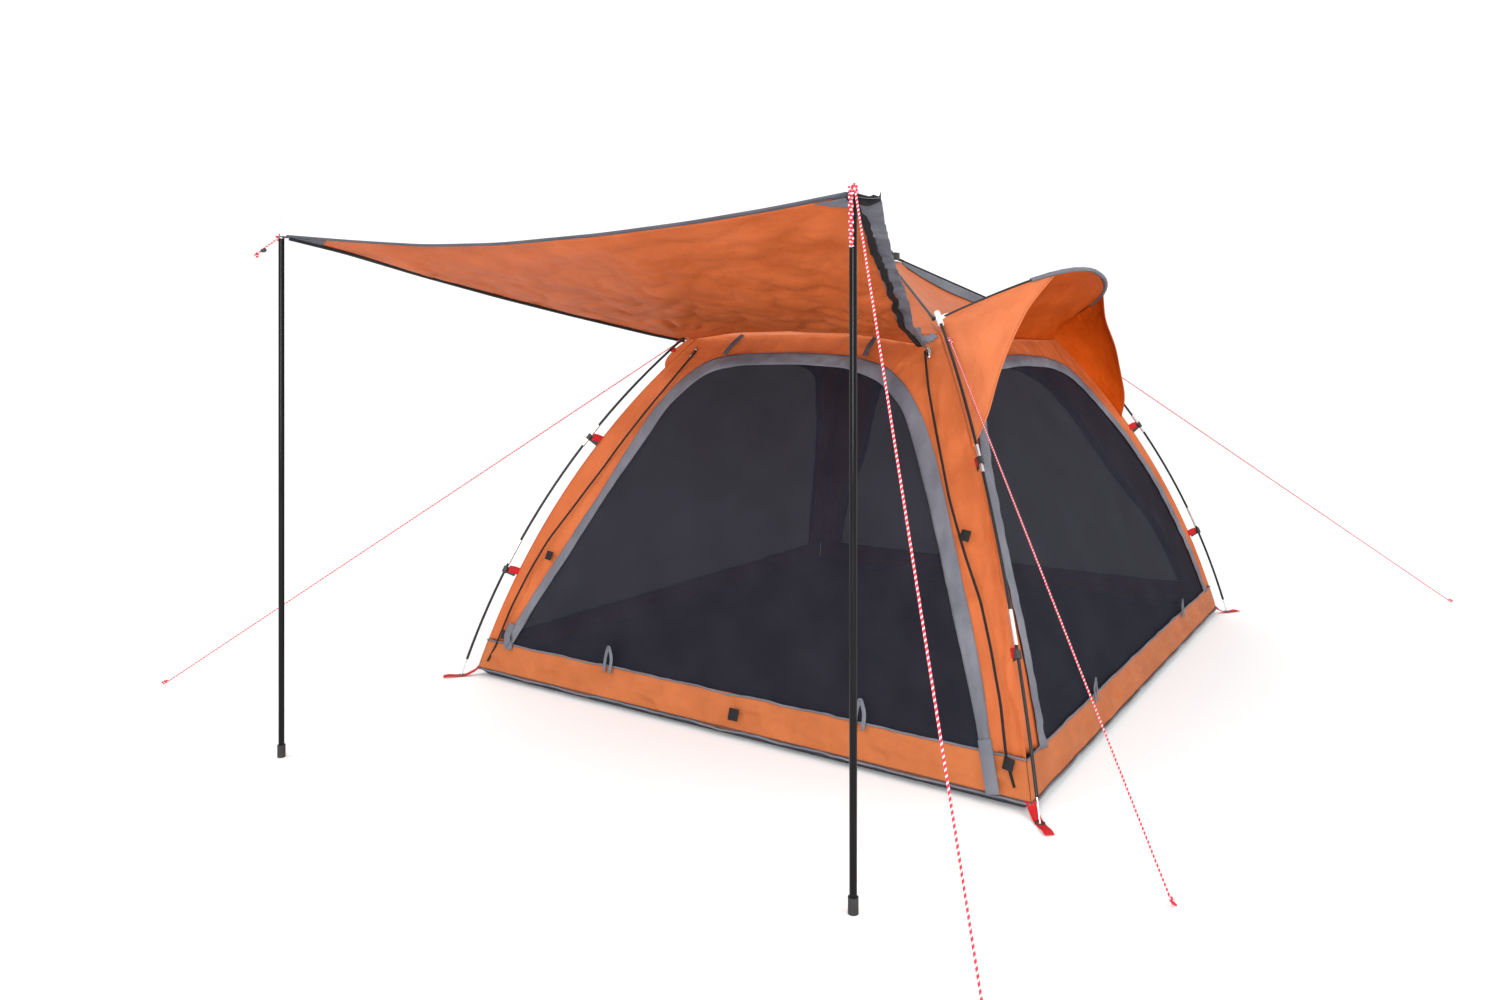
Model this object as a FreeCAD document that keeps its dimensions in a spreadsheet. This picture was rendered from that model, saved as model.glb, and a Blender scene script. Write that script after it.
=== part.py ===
"""Four-leg hub tent with a raised front awning, a side visor, mesh windows and guy ropes.

Frame: +Z up, the door side faces -Y, origin on the ground under the hub. Millimetres.
"""

import FreeCAD, Part
import math
import os
import re

doc = FreeCAD.newDocument("tarp_shelter")
sheet = doc.addObject("Spreadsheet::Sheet", "dimensions")

DRIVING = {
    # cabin plan and heights
    "floor_width": 2000,
    "floor_depth": 2400,
    "floor_thickness": 4,
    "fabric": 3,
    "wall_foot_height": 20,
    "wall_break_height": 620,
    "eave_height": 1200,
    "clip_reach": 50,
    # pole frame
    "foot_reach": 55,
    "foot_height": 6,
    "elbow_radius": 750,
    "elbow_height": 1250,
    "hub_height": 1520,
    "hub_pin_radius": 42,
    "leg_bow": 110,
    "rod_diameter": 9,
    "ferrule_wall": 1,
    "ferrule_length": 90,
    "lower_joint": 0.30,
    "upper_joint": 0.62,
    "lower_clip": 0.255,
    "upper_clip": 0.615,
    "foot_pin_length": 55,
    "foot_pin_diameter": 4,
    "arm_offset": 18,
    # hub
    "hub_radius": 55,
    "hub_thickness": 24,
    "hub_slot_inner": 33,
    "hub_slot_width": 12,
    "hub_pin_diameter": 4,
    "hub_pin_length": 24,
    "hub_cap_radius": 28,
    "hub_cap_height": 12,
    "arm_barrel_diameter": 14,
    "arm_barrel_length": 10,
    "arm_tip_length": 46,
    # elbow joints and clips
    "elbow_diameter": 20,
    "elbow_length": 62,
    "elbow_insert": 30,
    "lug_diameter": 16,
    "brow_socket_diameter": 15,
    "brow_socket_length": 34,
    "brow_insert": 14,
    "clip_diameter": 19,
    "clip_length": 22,
    "tab_width": 22,
    "tab_thickness": 2,
    # corner anchors
    "strap_width": 25,
    "strap_thickness": 2,
    "strap_tail": 62,
    "ring_diameter": 26,
    "ring_bore": 14,
    "ring_thickness": 3,
    # side visor and its bow
    "hood_eave_reach": 500,
    "hood_eave_height": 1215,
    "hood_eave_half": 500,
    "hood_brow_reach": 815,
    "hood_brow_height": 1392,
    "hood_brow_half": 380,
    "hood_foot_height": 860,
    "hood_clearance": 6,
    "brow_tilt": 25.2,
    "brow_rise": 400,
    "brow_flat_half": 330,
    "brow_bend": 250,
    # awning and its poles
    "pole_diameter": 16,
    "pole_wall": 1,
    "pole_left_x": -878,
    "pole_left_y": -2022,
    "pole_right_x": 852,
    "pole_right_y": -1847,
    "pole_height": 1462,
    "pole_lower_joint": 460,
    "pole_upper_joint": 918,
    "pole_spigot": 60,
    "top_pin_diameter": 6,
    "top_pin_length": 56,
    "pole_foot_diameter": 22,
    "pole_foot_height": 34,
    "awning_inner_half": 470,
    "awning_inner_y": -600,
    "awning_drop": 10,
    "awning_pole_gap": 4,
    "flap_width": 70,
    "flap_end_width": 30,
    "flap_end_gap": 30,
    "flap_drop": 7,
    "flap_fall": 20,
    "flap_end_fall": 10,
    "flap_skew": 10,
    # front door and zips
    "door_low": 120,
    "door_top": 1090,
    "door_half_low": 860,
    "door_half_break": 610,
    "door_half_top": 330,
    "door_gap": 5,
    "zip_low": 60,
    "zip_top": 1160,
    "zip_half_low": 950,
    "zip_half_break": 722,
    "zip_half_top": 490,
    "zip_width": 8,
    "zip_thickness": 2,
    "slider_width": 14,
    "slider_height": 26,
    "slider_thickness": 6,
    "puller_width": 9,
    "puller_length": 30,
    "puller_thickness": 2,
    "puller_play": 0.1,
    "slider_start": 8,
    "bridge_start": 4,
    "pivot_start": 7,
    "bridge_rise": 3,
    "zip_lift": 0.3,
    # mesh windows
    "window_low": 95,
    "window_top": 1090,
    "side_window_half_low": 1060,
    "side_window_half_break": 850,
    "side_window_half_top": 420,
    "rear_window_half_low": 850,
    "rear_window_half_break": 610,
    "rear_window_half_top": 330,
    # guy ropes
    "rope_diameter": 5,
    "rope_share": 0.93,
    "rope_rest_height": 5,
}


def store(name, number):
    """One more row of the sheet: a plain number with its alias."""
    row = store.row = store.row + 1
    sheet.set(f"A{row}", name.replace("_", " "))
    sheet.set(f"B{row}", repr(number))
    sheet.setAlias(f"B{row}", name)
    store.values[name] = float(number)


store.row = 0
store.values = {}
size = store.values

for alias, number in DRIVING.items():
    store(alias, number)

# ---------------------------------------------------------------- leg and wall geometry

half_diagonal = math.hypot(size["floor_width"], size["floor_depth"]) / 2
RADIAL_X = size["floor_width"] / 2 / half_diagonal
RADIAL_Y = size["floor_depth"] / 2 / half_diagonal
CORNERS = {
    "front_left": (-1, -1, 1),
    "front_right": (1, -1, -1),
    "rear_right": (1, 1, 1),
    "rear_left": (-1, 1, -1),
}
UP = FreeCAD.Vector(0, 0, 1)

foot_radius = half_diagonal + size["foot_reach"]
leg_run = foot_radius - size["elbow_radius"]
leg_rise = size["elbow_height"] - size["foot_height"]
leg_chord = math.hypot(leg_run, leg_rise)
store("leg_arc_radius", leg_chord**2 / (8 * size["leg_bow"]) + size["leg_bow"] / 2)
store("leg_arc_angle", math.degrees(2 * math.asin(leg_chord / 2 / size["leg_arc_radius"])))
ARC_MIDDLE = math.degrees(math.atan2(leg_run, leg_rise))
ARC_START = ARC_MIDDLE - size["leg_arc_angle"] / 2
back_off = size["leg_arc_radius"] - size["leg_bow"]
ARC_CENTRE = (
    (foot_radius + size["elbow_radius"]) / 2 - back_off * math.cos(math.radians(ARC_MIDDLE)),
    (size["foot_height"] + size["elbow_height"]) / 2 - back_off * math.sin(math.radians(ARC_MIDDLE)),
)


def arc_angle(share):
    """Angle round the leg's arc, in degrees, at a share of its length from the foot."""
    return ARC_START + share * size["leg_arc_angle"]


def leg_radius_at(height):
    """Distance of the leg's axis from the hub's axis at a height."""
    rise = (height - ARC_CENTRE[1]) / size["leg_arc_radius"]
    return ARC_CENTRE[0] + size["leg_arc_radius"] * math.cos(math.asin(rise))


WALL_LEVELS = {"foot": "wall_foot_height", "break": "wall_break_height", "eave": "eave_height"}
for level, height in WALL_LEVELS.items():
    corner_radius = leg_radius_at(size[height]) - size["clip_reach"]
    store(f"half_width_{level}", RADIAL_X * corner_radius)
    store(f"half_depth_{level}", RADIAL_Y * corner_radius)


def radial(corner):
    """Outward and sideways unit vectors of a leg's upright plane, and the arm's side."""
    side_x, side_y, arm_side = CORNERS[corner]
    outward = FreeCAD.Vector(side_x * RADIAL_X, side_y * RADIAL_Y, 0)
    return outward, UP.cross(outward), arm_side


def leg_point(corner, share, sideways=0.0):
    """A point on a leg's axis, and the leg's direction there, foot to elbow."""
    outward, across, _ = radial(corner)
    angle = math.radians(arc_angle(share))
    reach = ARC_CENTRE[0] + size["leg_arc_radius"] * math.cos(angle)
    height = ARC_CENTRE[1] + size["leg_arc_radius"] * math.sin(angle)
    point = outward * reach + UP * height + across * sideways
    return point, (UP * math.cos(angle) - outward * math.sin(angle))


# ---------------------------------------------------------------- small building helpers

ALIAS = re.compile(r"[a-z][a-z_]+")


def with_sheet(word):
    """An alias as the expression engine reads it."""
    return f"dimensions.{word.group()}" if word.group() in size else word.group()


def bind(thing, **formulas):
    """Binds properties to formulas of the sheet's aliases."""
    for name, formula in formulas.items():
        thing.setExpression(name, ALIAS.sub(with_sheet, formula))
    return thing


def frame_at(origin, z_axis, x_axis=None):
    """Placement with the given local Z, and local X as near as it can be to x_axis."""
    third = FreeCAD.Vector(z_axis).normalize()
    hint = x_axis or (UP if abs(third.z) < 0.9 else FreeCAD.Vector(1, 0, 0))
    second = third.cross(hint).normalize()
    first = second.cross(third)
    columns = (first, second, third, origin)
    rows = [value for axis in range(3) for value in (column[axis] for column in columns)]
    return FreeCAD.Placement(FreeCAD.Matrix(*rows, 0, 0, 0, 1))


def cylinder(radius, height, place):
    thing = bind(doc.addObject("Part::Cylinder", "cylinder"), Radius=radius, Height=height)
    thing.Placement = place
    return thing


def block(length, width, height, place):
    """A box from its place's origin along local X, centred across local Y and Z."""
    thing = bind(doc.addObject("Part::Box", "block"), Length=length, Width=width, Height=height)
    shift = FreeCAD.Vector(0, -size_of(width) / 2, -size_of(height) / 2)
    thing.Placement = place.multiply(FreeCAD.Placement(shift, FreeCAD.Rotation()))
    return thing


def size_of(formula):
    """Value of a formula that is one alias, or one alias plus or minus another."""
    words = formula.split()
    total = size[words[0]]
    for sign, word in zip(words[1::2], words[2::2]):
        total += size[word] if sign == "+" else -size[word]
    return total


def arc_tube(corner, start, end, radius):
    """A round bar along part of a leg's arc."""
    outward, _, _ = radial(corner)
    thing = bind(
        doc.addObject("Part::Torus", "arc_tube"),
        Radius1="leg_arc_radius",
        Radius2=radius,
        Angle3=f"leg_arc_angle * {end - start}",
    )
    centre = outward * ARC_CENTRE[0] + UP * ARC_CENTRE[1]
    angle = math.radians(arc_angle(start))
    first = outward * math.cos(angle) + UP * math.sin(angle)
    thing.Placement = frame_at(centre, outward.cross(UP), first)
    return thing


def cut(base, tool):
    thing = doc.addObject("Part::Cut", "cut")
    thing.Base = base
    thing.Tool = tool
    return thing


def fuse(*shapes):
    thing = doc.addObject("Part::MultiFuse", "fuse")
    thing.Shapes = list(shapes)
    return thing


def group(*shapes):
    thing = doc.addObject("Part::Compound", "group")
    thing.Links = list(shapes)
    return thing


NODES = []


def node(label, thing):
    """Names a finished sub-part."""
    thing.Label = label
    NODES.append(thing)
    return thing


def panel(yaw, stations, thickness="fabric"):
    """A leaning wall facet for each pair of stations, joined into one sheet.

    A station is (height, left edge, right edge, distance of the outer face from the hub's axis).
    Yaw 0 faces -Y, 90 faces +X.
    """
    facets = []
    for low, high in zip(stations, stations[1:]):
        facet = bind(
            doc.addObject("Part::Wedge", "facet"),
            Ymin=low[0], Xmin=low[1], Xmax=low[2], Zmax=low[3], Zmin=f"{low[3]} - {thickness}",
            Ymax=high[0], X2min=high[1], X2max=high[2], Z2max=high[3], Z2min=f"{high[3]} - {thickness}",
        )
        upright = FreeCAD.Rotation(FreeCAD.Vector(1, 0, 0), 90)
        facet.Placement = FreeCAD.Placement(FreeCAD.Vector(), FreeCAD.Rotation(UP, yaw) * upright)
        facets.append(facet)
    return facets[0] if len(facets) == 1 else fuse(*facets)


def skin(triangles, thickness):
    """A thin sheet over triangles that share edges, thickened along one direction."""
    faces = [Part.Face(Part.makePolygon([*corners, corners[0]])) for corners in triangles]
    solids = [face.extrude(thickness) for face in faces]
    thing = doc.addObject("Part::Feature", "skin")
    thing.Shape = solids[0].multiFuse(solids[1:]).removeSplitter() if len(solids) > 1 else solids[0]
    return thing


def wall_depth(family, height):
    """Formula of the outer face's distance from the hub's axis, at a height alias."""
    low, high = ("foot", "break") if size_of(height) <= size["wall_break_height"] else ("break", "eave")
    near, far = f"{family}_{low}", f"{family}_{high}"
    bottom, top = WALL_LEVELS[low], WALL_LEVELS[high]
    share = f"({height} - {bottom}) / ({top} - {bottom})"
    return f"({near} + ({far} - {near}) * {share})"


# ---------------------------------------------------------------- cabin fabric

SIDES = {
    "front": (0, "half_width", "half_depth"),
    "right": (90, "half_depth", "half_width"),
    "rear": (180, "half_width", "half_depth"),
    "left": (270, "half_depth", "half_width"),
}


def opening_stations(side, low, top, halves, inset="0"):
    """Stations of a window or door, drawn in by an inset on every edge."""
    depth = SIDES[side][2]
    levels = (
        (low, halves[0], f"+ {inset}"),
        ("wall_break_height", halves[1], ""),
        (top, halves[2], f"- {inset}"),
    )
    return [
        (f"{height} {lift}", f"{inset} - {half}", f"{half} - {inset}", wall_depth(depth, height))
        for height, half, lift in levels
    ]


def thicker(stations):
    """The same stations with a deeper reach, for cutting right through a wall."""
    return [(height, left, right, f"{depth} + 5 * fabric") for height, left, right, depth in stations]


def wall(side, low, top, halves):
    """A wall panel with its window or door opening cut out, and that opening's stations."""
    yaw, width, depth = SIDES[side]
    trim = " - fabric - 1" if side in ("right", "left") else ""
    stations = [
        (height, f"-({width}_{level}{trim})", f"{width}_{level}{trim}", f"{depth}_{level}")
        for level, height in WALL_LEVELS.items()
    ]
    opening = panel(yaw, thicker(opening_stations(side, low, top, halves)), "11 * fabric")
    return cut(panel(yaw, stations), opening)


def opening_panel(side, low, top, halves):
    """The mesh that fills an opening, with a small seam gap all round."""
    return panel(SIDES[side][0], opening_stations(side, low, top, halves, "door_gap"))


SIDE_HALVES = ("side_window_half_low", "side_window_half_break", "side_window_half_top")
REAR_HALVES = ("rear_window_half_low", "rear_window_half_break", "rear_window_half_top")
DOOR_HALVES = ("door_half_low", "door_half_break", "door_half_top")


def build_cabin():
    floor = doc.addObject("Part::Box", "floor")
    bind(floor, Length="floor_width", Width="floor_depth", Height="floor_thickness")
    floor.Placement.Base = FreeCAD.Vector(-size["floor_width"] / 2, -size["floor_depth"] / 2, 0)
    node("ground_sheet", floor)
    node("front_wall", wall("front", "door_low", "door_top", DOOR_HALVES))
    node("front_door", opening_panel("front", "door_low", "door_top", DOOR_HALVES))
    for side in ("right", "left"):
        node(f"{side}_wall", wall(side, "window_low", "window_top", SIDE_HALVES))
        node(f"{side}_mesh", opening_panel(side, "window_low", "window_top", SIDE_HALVES))
    node("rear_wall", wall("rear", "window_low", "window_top", REAR_HALVES))
    node("rear_mesh", opening_panel("rear", "window_low", "window_top", REAR_HALVES))


ROOF_TOP_HALF_WIDTH = 40
ROOF_TOP_GAP = 8
ROOF_EAVE_GAP = 3


def build_roof():
    """Hollow four-sided roof from the eaves to the underside of the hub."""
    shells = []
    for inset in ("0", "fabric * 2"):
        top = f"hub_height - hub_thickness / 2 - {ROOF_TOP_GAP}"
        shell = bind(
            doc.addObject("Part::Wedge", "roof_shell"),
            Ymin=f"eave_height + {ROOF_EAVE_GAP}", Ymax=f"{top} - {inset} * 0.3",
            Xmin=f"{inset} - half_width_eave", Xmax=f"half_width_eave - {inset}",
            Zmin=f"{inset} - half_depth_eave", Zmax=f"half_depth_eave - {inset}",
            X2min=f"{inset} - {ROOF_TOP_HALF_WIDTH}", X2max=f"{ROOF_TOP_HALF_WIDTH} - {inset}",
            Z2min=f"{inset} - {ROOF_TOP_HALF_WIDTH}", Z2max=f"{ROOF_TOP_HALF_WIDTH} - {inset}",
        )
        shell.Placement = FreeCAD.Placement(FreeCAD.Vector(), FreeCAD.Rotation(FreeCAD.Vector(1, 0, 0), 90))
        shells.append(shell)
    node("roof_canopy", cut(*shells))


def brow_frame():
    """In-plane axes of the visor's bow: outward and upward, and along the eave."""
    tilt = math.radians(size["brow_tilt"])
    return FreeCAD.Vector(math.cos(tilt), 0, math.sin(tilt)), FreeCAD.Vector(0, 1, 0)


def brow_path():
    """The visor's bow as corners of its path, elbow to elbow, before its bends."""
    outward, along = brow_frame()
    elbow_x = RADIAL_X * size["elbow_radius"]
    elbow_y = RADIAL_Y * size["elbow_radius"]
    base = FreeCAD.Vector(elbow_x, 0, size["elbow_height"])
    rise, flat = size["brow_rise"], size["brow_flat_half"]
    plan = ((0, -elbow_y), (rise, -flat), (rise, flat), (0, elbow_y))
    return [base + outward * reach + along * shift for reach, shift in plan]


def build_brow_pole():
    """Straight ends, two bends and a straight middle, in one plane."""
    corners = brow_path()
    outward, along = brow_frame()
    first = (corners[1] - corners[0]).normalize()
    last = (corners[3] - corners[2]).normalize()
    bend = math.radians(90) - math.asin(first * along)
    reach = size["brow_bend"] * math.tan(bend / 2)
    start = corners[0] + first * (size["brow_socket_length"] - size["brow_insert"])
    pieces = [cylinder("rod_diameter / 2", "1", frame_at(start, first))]
    bind(pieces[0], Height=str(((corners[1] - first * reach) - start).Length))
    for corner, way in ((corners[1], first), (corners[2], -last)):
        toward = along if corner is corners[1] else -along
        centre = corner + toward * reach - outward * size["brow_bend"]
        turn = bind(
            doc.addObject("Part::Torus", "bend"),
            Radius1="brow_bend", Radius2="rod_diameter / 2", Angle3=str(math.degrees(bend)),
        )
        begin = (corner - way * reach - centre).normalize()
        turn.Placement = frame_at(centre, begin.cross(outward), begin)
        pieces.append(turn)
    middle_start = corners[1] + along * reach
    middle = cylinder("rod_diameter / 2", f"2 * (brow_flat_half - {reach})", frame_at(middle_start, along))
    end = corners[2] + last * reach
    tail = cylinder("rod_diameter / 2", "1", frame_at(end, last))
    length = (corners[3] - end).Length - (size["brow_socket_length"] - size["brow_insert"])
    bind(tail, Height=str(length))
    node("brow_pole_right", fuse(*pieces, middle, tail))


def build_hood():
    """Visor over the right window: a sloping top and a cheek down to each leg's upper clip."""
    top = panel(
        SIDES["right"][0],
        (
            ("hood_eave_height", "-hood_eave_half", "hood_eave_half", "hood_eave_reach"),
            ("hood_brow_height", "-hood_brow_half", "hood_brow_half", "hood_brow_reach"),
        ),
        "2 * fabric",
    )
    gap = size["hood_clearance"]
    reach = leg_radius_at(size["hood_foot_height"]) - size["clip_reach"] - gap
    cheeks = []
    for end in (-1, 1):
        low = FreeCAD.Vector(
            RADIAL_X * reach + 2 * gap,
            end * (RADIAL_Y * reach - 5 * gap),
            size["hood_foot_height"],
        )
        inner = FreeCAD.Vector(
            size["hood_eave_reach"] + 2 * gap,
            end * size["hood_eave_half"],
            size["hood_eave_height"] - gap,
        )
        outer = FreeCAD.Vector(
            size["hood_brow_reach"] - 2 * gap,
            end * size["hood_brow_half"],
            size["hood_brow_height"] - gap,
        )
        cheeks.append(skin([(low, inner, outer)], FreeCAD.Vector(0, -end * size["fabric"], 0)))
    node("hood_right", group(top, *cheeks))


def build_awning():
    """Raised door panel from the front eave to the two poles, and the flap along its right zip."""
    half, inner_y = size["awning_inner_half"], size["awning_inner_y"]
    outer_z = size["pole_height"] - size["awning_drop"]
    inner_z = size["eave_height"] + ROOF_EAVE_GAP
    left_in = FreeCAD.Vector(-half, inner_y, inner_z)
    right_in = FreeCAD.Vector(half, inner_y, inner_z)
    inward = size["pole_diameter"] / 2 + size["awning_pole_gap"]
    left_out = FreeCAD.Vector(size["pole_left_x"] + inward, size["pole_left_y"] + inward, outer_z)
    right_out = FreeCAD.Vector(size["pole_right_x"] - inward, size["pole_right_y"] + inward, outer_z)
    down = FreeCAD.Vector(0, 0, -size["fabric"])
    node("awning", skin([(left_in, left_out, right_out), (left_in, right_out, right_in)], down))
    gap = size["awning_pole_gap"]
    flap_in = right_in + FreeCAD.Vector(gap, 0, 0)
    flap_out = right_out + FreeCAD.Vector(gap, size["flap_end_gap"], -size["flap_drop"])
    edge_out = flap_out + FreeCAD.Vector(size["flap_width"], size["flap_skew"], -size["flap_fall"])
    edge_in = flap_in + FreeCAD.Vector(size["flap_end_width"], 0, -size["flap_end_fall"])
    node("storm_flap", skin([(flap_in, flap_out, edge_out), (flap_in, edge_out, edge_in)], down))


# ---------------------------------------------------------------- zips

ZIP_LEVELS = (
    ("zip_low", "zip_half_low"),
    ("wall_break_height", "zip_half_break"),
    ("zip_top", "zip_half_top"),
)


def zip_stations(side):
    """Stations of a zip track up one edge of the doorway."""
    rows = []
    for height, half in ZIP_LEVELS:
        near = f"{side} * {half} - zip_width / 2"
        far = f"{side} * {half} + zip_width / 2"
        rows.append((height, near, far, f"{wall_depth('half_depth', height)} + zip_thickness + zip_lift"))
    return rows


def zip_line(side):
    """Centre of the track's outer face at its top and at the wall's break."""
    ends = []
    for level, half in reversed(ZIP_LEVELS[1:]):
        height = size[level]
        share = (height - size["wall_break_height"]) / (size["eave_height"] - size["wall_break_height"])
        depth = size["half_depth_break"] + (size["half_depth_eave"] - size["half_depth_break"]) * share
        reach = depth + size["zip_thickness"] + size["zip_lift"]
        ends.append(FreeCAD.Vector(side * size[half], -reach, height))
    return ends


def build_slider(name, side):
    """A slider with a bridge, and the pull tab that hangs from the bridge's hole."""
    top, low = zip_line(side)
    along = (low - top).normalize()
    outward = along.cross(FreeCAD.Vector(side, 0, 0)) * side
    outward = (outward if outward.y < 0 else -outward).normalize()
    across = along.cross(outward)
    half_thick = size["slider_thickness"] / 2
    start = top + along * size["slider_start"] + outward * (half_thick + size["zip_lift"])
    lift = outward * (half_thick + size["bridge_rise"])
    body = block("slider_height", "slider_width", "slider_thickness", frame_at(start, outward, along))
    bridge_place = frame_at(start + along * size["bridge_start"] + lift, outward, along)
    bridge = block("slider_width - zip_width", "slider_width - zip_width", "slider_thickness", bridge_place)
    pivot = start + along * size["pivot_start"] + lift
    hole_place = frame_at(pivot - across * size["slider_width"] / 2, across)
    hole = cylinder("puller_thickness / 2 + puller_play", "slider_width", hole_place)
    node(f"zip_slider_{name}", cut(fuse(body, bridge), hole))

    pin_length = size["puller_width"] + size["puller_thickness"]
    pin_place = frame_at(pivot - across * pin_length / 2, across)
    pin = cylinder("puller_thickness / 2", "puller_width + puller_thickness", pin_place)
    cheeks = []
    for end in (-1, 1):
        cheek_place = frame_at(pivot + across * end * size["puller_width"] / 2, outward, along)
        cheeks.append(block("puller_width", "puller_thickness", "puller_thickness", cheek_place))
    tab_place = frame_at(pivot + along * (size["puller_width"] - 1), outward, along)
    tab = block("puller_length", "puller_width + puller_thickness", "puller_thickness", tab_place)
    node(f"zip_puller_{name}", fuse(pin, *cheeks, tab))


def build_zips():
    """Two tracks, and a slider on each."""
    tracks = [panel(0, zip_stations(side), "zip_thickness") for side in (-1, 1)]
    node("zip_tracks", group(*tracks))
    build_slider("left", -1)
    build_slider("right", 1)


# ---------------------------------------------------------------- pole frame

ROD = "rod_diameter / 2"
FERRULE = "rod_diameter / 2 + ferrule_wall"


def build_leg(corner):
    """One leg: three rods, two ferrules, a foot pin, an elbow joint and two clips."""
    outward, across, _ = radial(corner)
    foot_share = size["foot_pin_length"] / leg_chord
    top_share = 1 - (size["elbow_length"] / 2 - size["elbow_insert"]) / leg_chord
    joints = [foot_share, size["lower_joint"], size["upper_joint"], top_share]
    rods = [arc_tube(corner, low, high, ROD) for low, high in zip(joints, joints[1:])]
    node(f"leg_{corner}_rods", group(*rods))

    half = size["ferrule_length"] / 2 / leg_chord
    sleeves = []
    for joint in (size["lower_joint"], size["upper_joint"]):
        shell, core = (arc_tube(corner, joint - half, joint + half, radius) for radius in (FERRULE, ROD))
        sleeves.append(cut(shell, core))
    foot, rising = leg_point(corner, 0)
    pin_start = foot - rising * (size["foot_height"] - 3)
    pin_end = leg_point(corner, foot_share)[0]
    pin_length = (pin_end - pin_start).Length - 0.3
    pin = cylinder("foot_pin_diameter / 2", str(pin_length), frame_at(pin_start, pin_end - pin_start))
    node(f"leg_{corner}_ferrules_and_pin", group(*sleeves, pin))

    build_elbow(corner)

    clips = []
    for share in (size["lower_clip"], size["upper_clip"]):
        point, along = leg_point(corner, share)
        start = point - along * (size["clip_length"] / 2)
        shell = cylinder("clip_diameter / 2", "clip_length", frame_at(start, along))
        clips.append(cut(shell, cylinder(f"{FERRULE} + 0.3", "clip_length", frame_at(start, along))))
        inward = along.cross(across) if along.cross(across) * outward < 0 else across.cross(along)
        tab_start = point + inward * (size["clip_diameter"] / 2 - 0.5)
        tab_place = frame_at(tab_start, along, inward)
        clips.append(block("clip_reach - clip_diameter", "tab_thickness", "tab_width", tab_place))
    node(f"leg_{corner}_clips", group(*clips))


def build_elbow(corner):
    """Moulded joint at a leg's top: rod socket, lug beside the arm, and a socket where the bow ends."""
    _, across, arm_side = radial(corner)
    point, along = leg_point(corner, 1)
    start = point - along * (size["elbow_length"] / 2)
    barrel = cylinder("elbow_diameter / 2", "elbow_length", frame_at(start, along))
    lug_length = size["arm_offset"] - size["arm_barrel_length"] / 2 - 1
    lug = cylinder("lug_diameter / 2", str(lug_length), frame_at(point, across * arm_side))
    body = fuse(barrel, lug)
    bore = cylinder("rod_diameter / 2 + 0.4", "elbow_insert", frame_at(start, along))
    side_x, side_y, _ = CORNERS[corner]
    if side_x > 0:
        path = brow_path()
        near, far = (path[0], path[1]) if side_y < 0 else (path[3], path[2])
        way = (far - near).normalize()
        socket = cylinder("brow_socket_diameter / 2", "brow_socket_length", frame_at(near, way))
        mouth = near + way * (size["brow_socket_length"] - size["brow_insert"] - 1)
        pocket = cylinder("rod_diameter / 2 + 0.4", "brow_insert + 3", frame_at(mouth, way))
        body = cut(fuse(body, socket), pocket)
    node(f"elbow_{corner}", cut(body, bore))


def build_arm(corner):
    """Roof arm from the hub to just beside an elbow joint."""
    outward, across, arm_side = radial(corner)
    shift = across * (arm_side * size["arm_offset"])
    inner = outward * size["hub_pin_radius"] + UP * size["hub_height"] + shift
    outer = outward * size["elbow_radius"] + UP * size["elbow_height"] + shift
    way = (outer - inner).normalize()
    half = across * (size["arm_barrel_length"] / 2)
    barrel_radius = size["arm_barrel_diameter"] / 2
    pieces = []
    for centre in (inner, outer):
        barrel = cylinder("arm_barrel_diameter / 2", "arm_barrel_length", frame_at(centre - half, across))
        toward = way if centre is inner else -way
        neck = cylinder(FERRULE, "arm_tip_length", frame_at(centre, toward))
        bore_place = frame_at(centre - half * 2, across)
        bore = cylinder("hub_pin_diameter / 2 + 0.05", "arm_barrel_length * 2", bore_place)
        socket_at = centre + toward * (barrel_radius + 3)
        socket = cylinder(ROD, "arm_tip_length", frame_at(socket_at, toward))
        pieces.append(cut(cut(fuse(barrel, neck), bore), socket))
    start = inner + way * (barrel_radius + 3)
    rod = cylinder(ROD, str((outer - inner).Length - 2 * (barrel_radius + 3)), frame_at(start, way))
    node(f"arm_{corner}", group(rod, *pieces))


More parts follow.
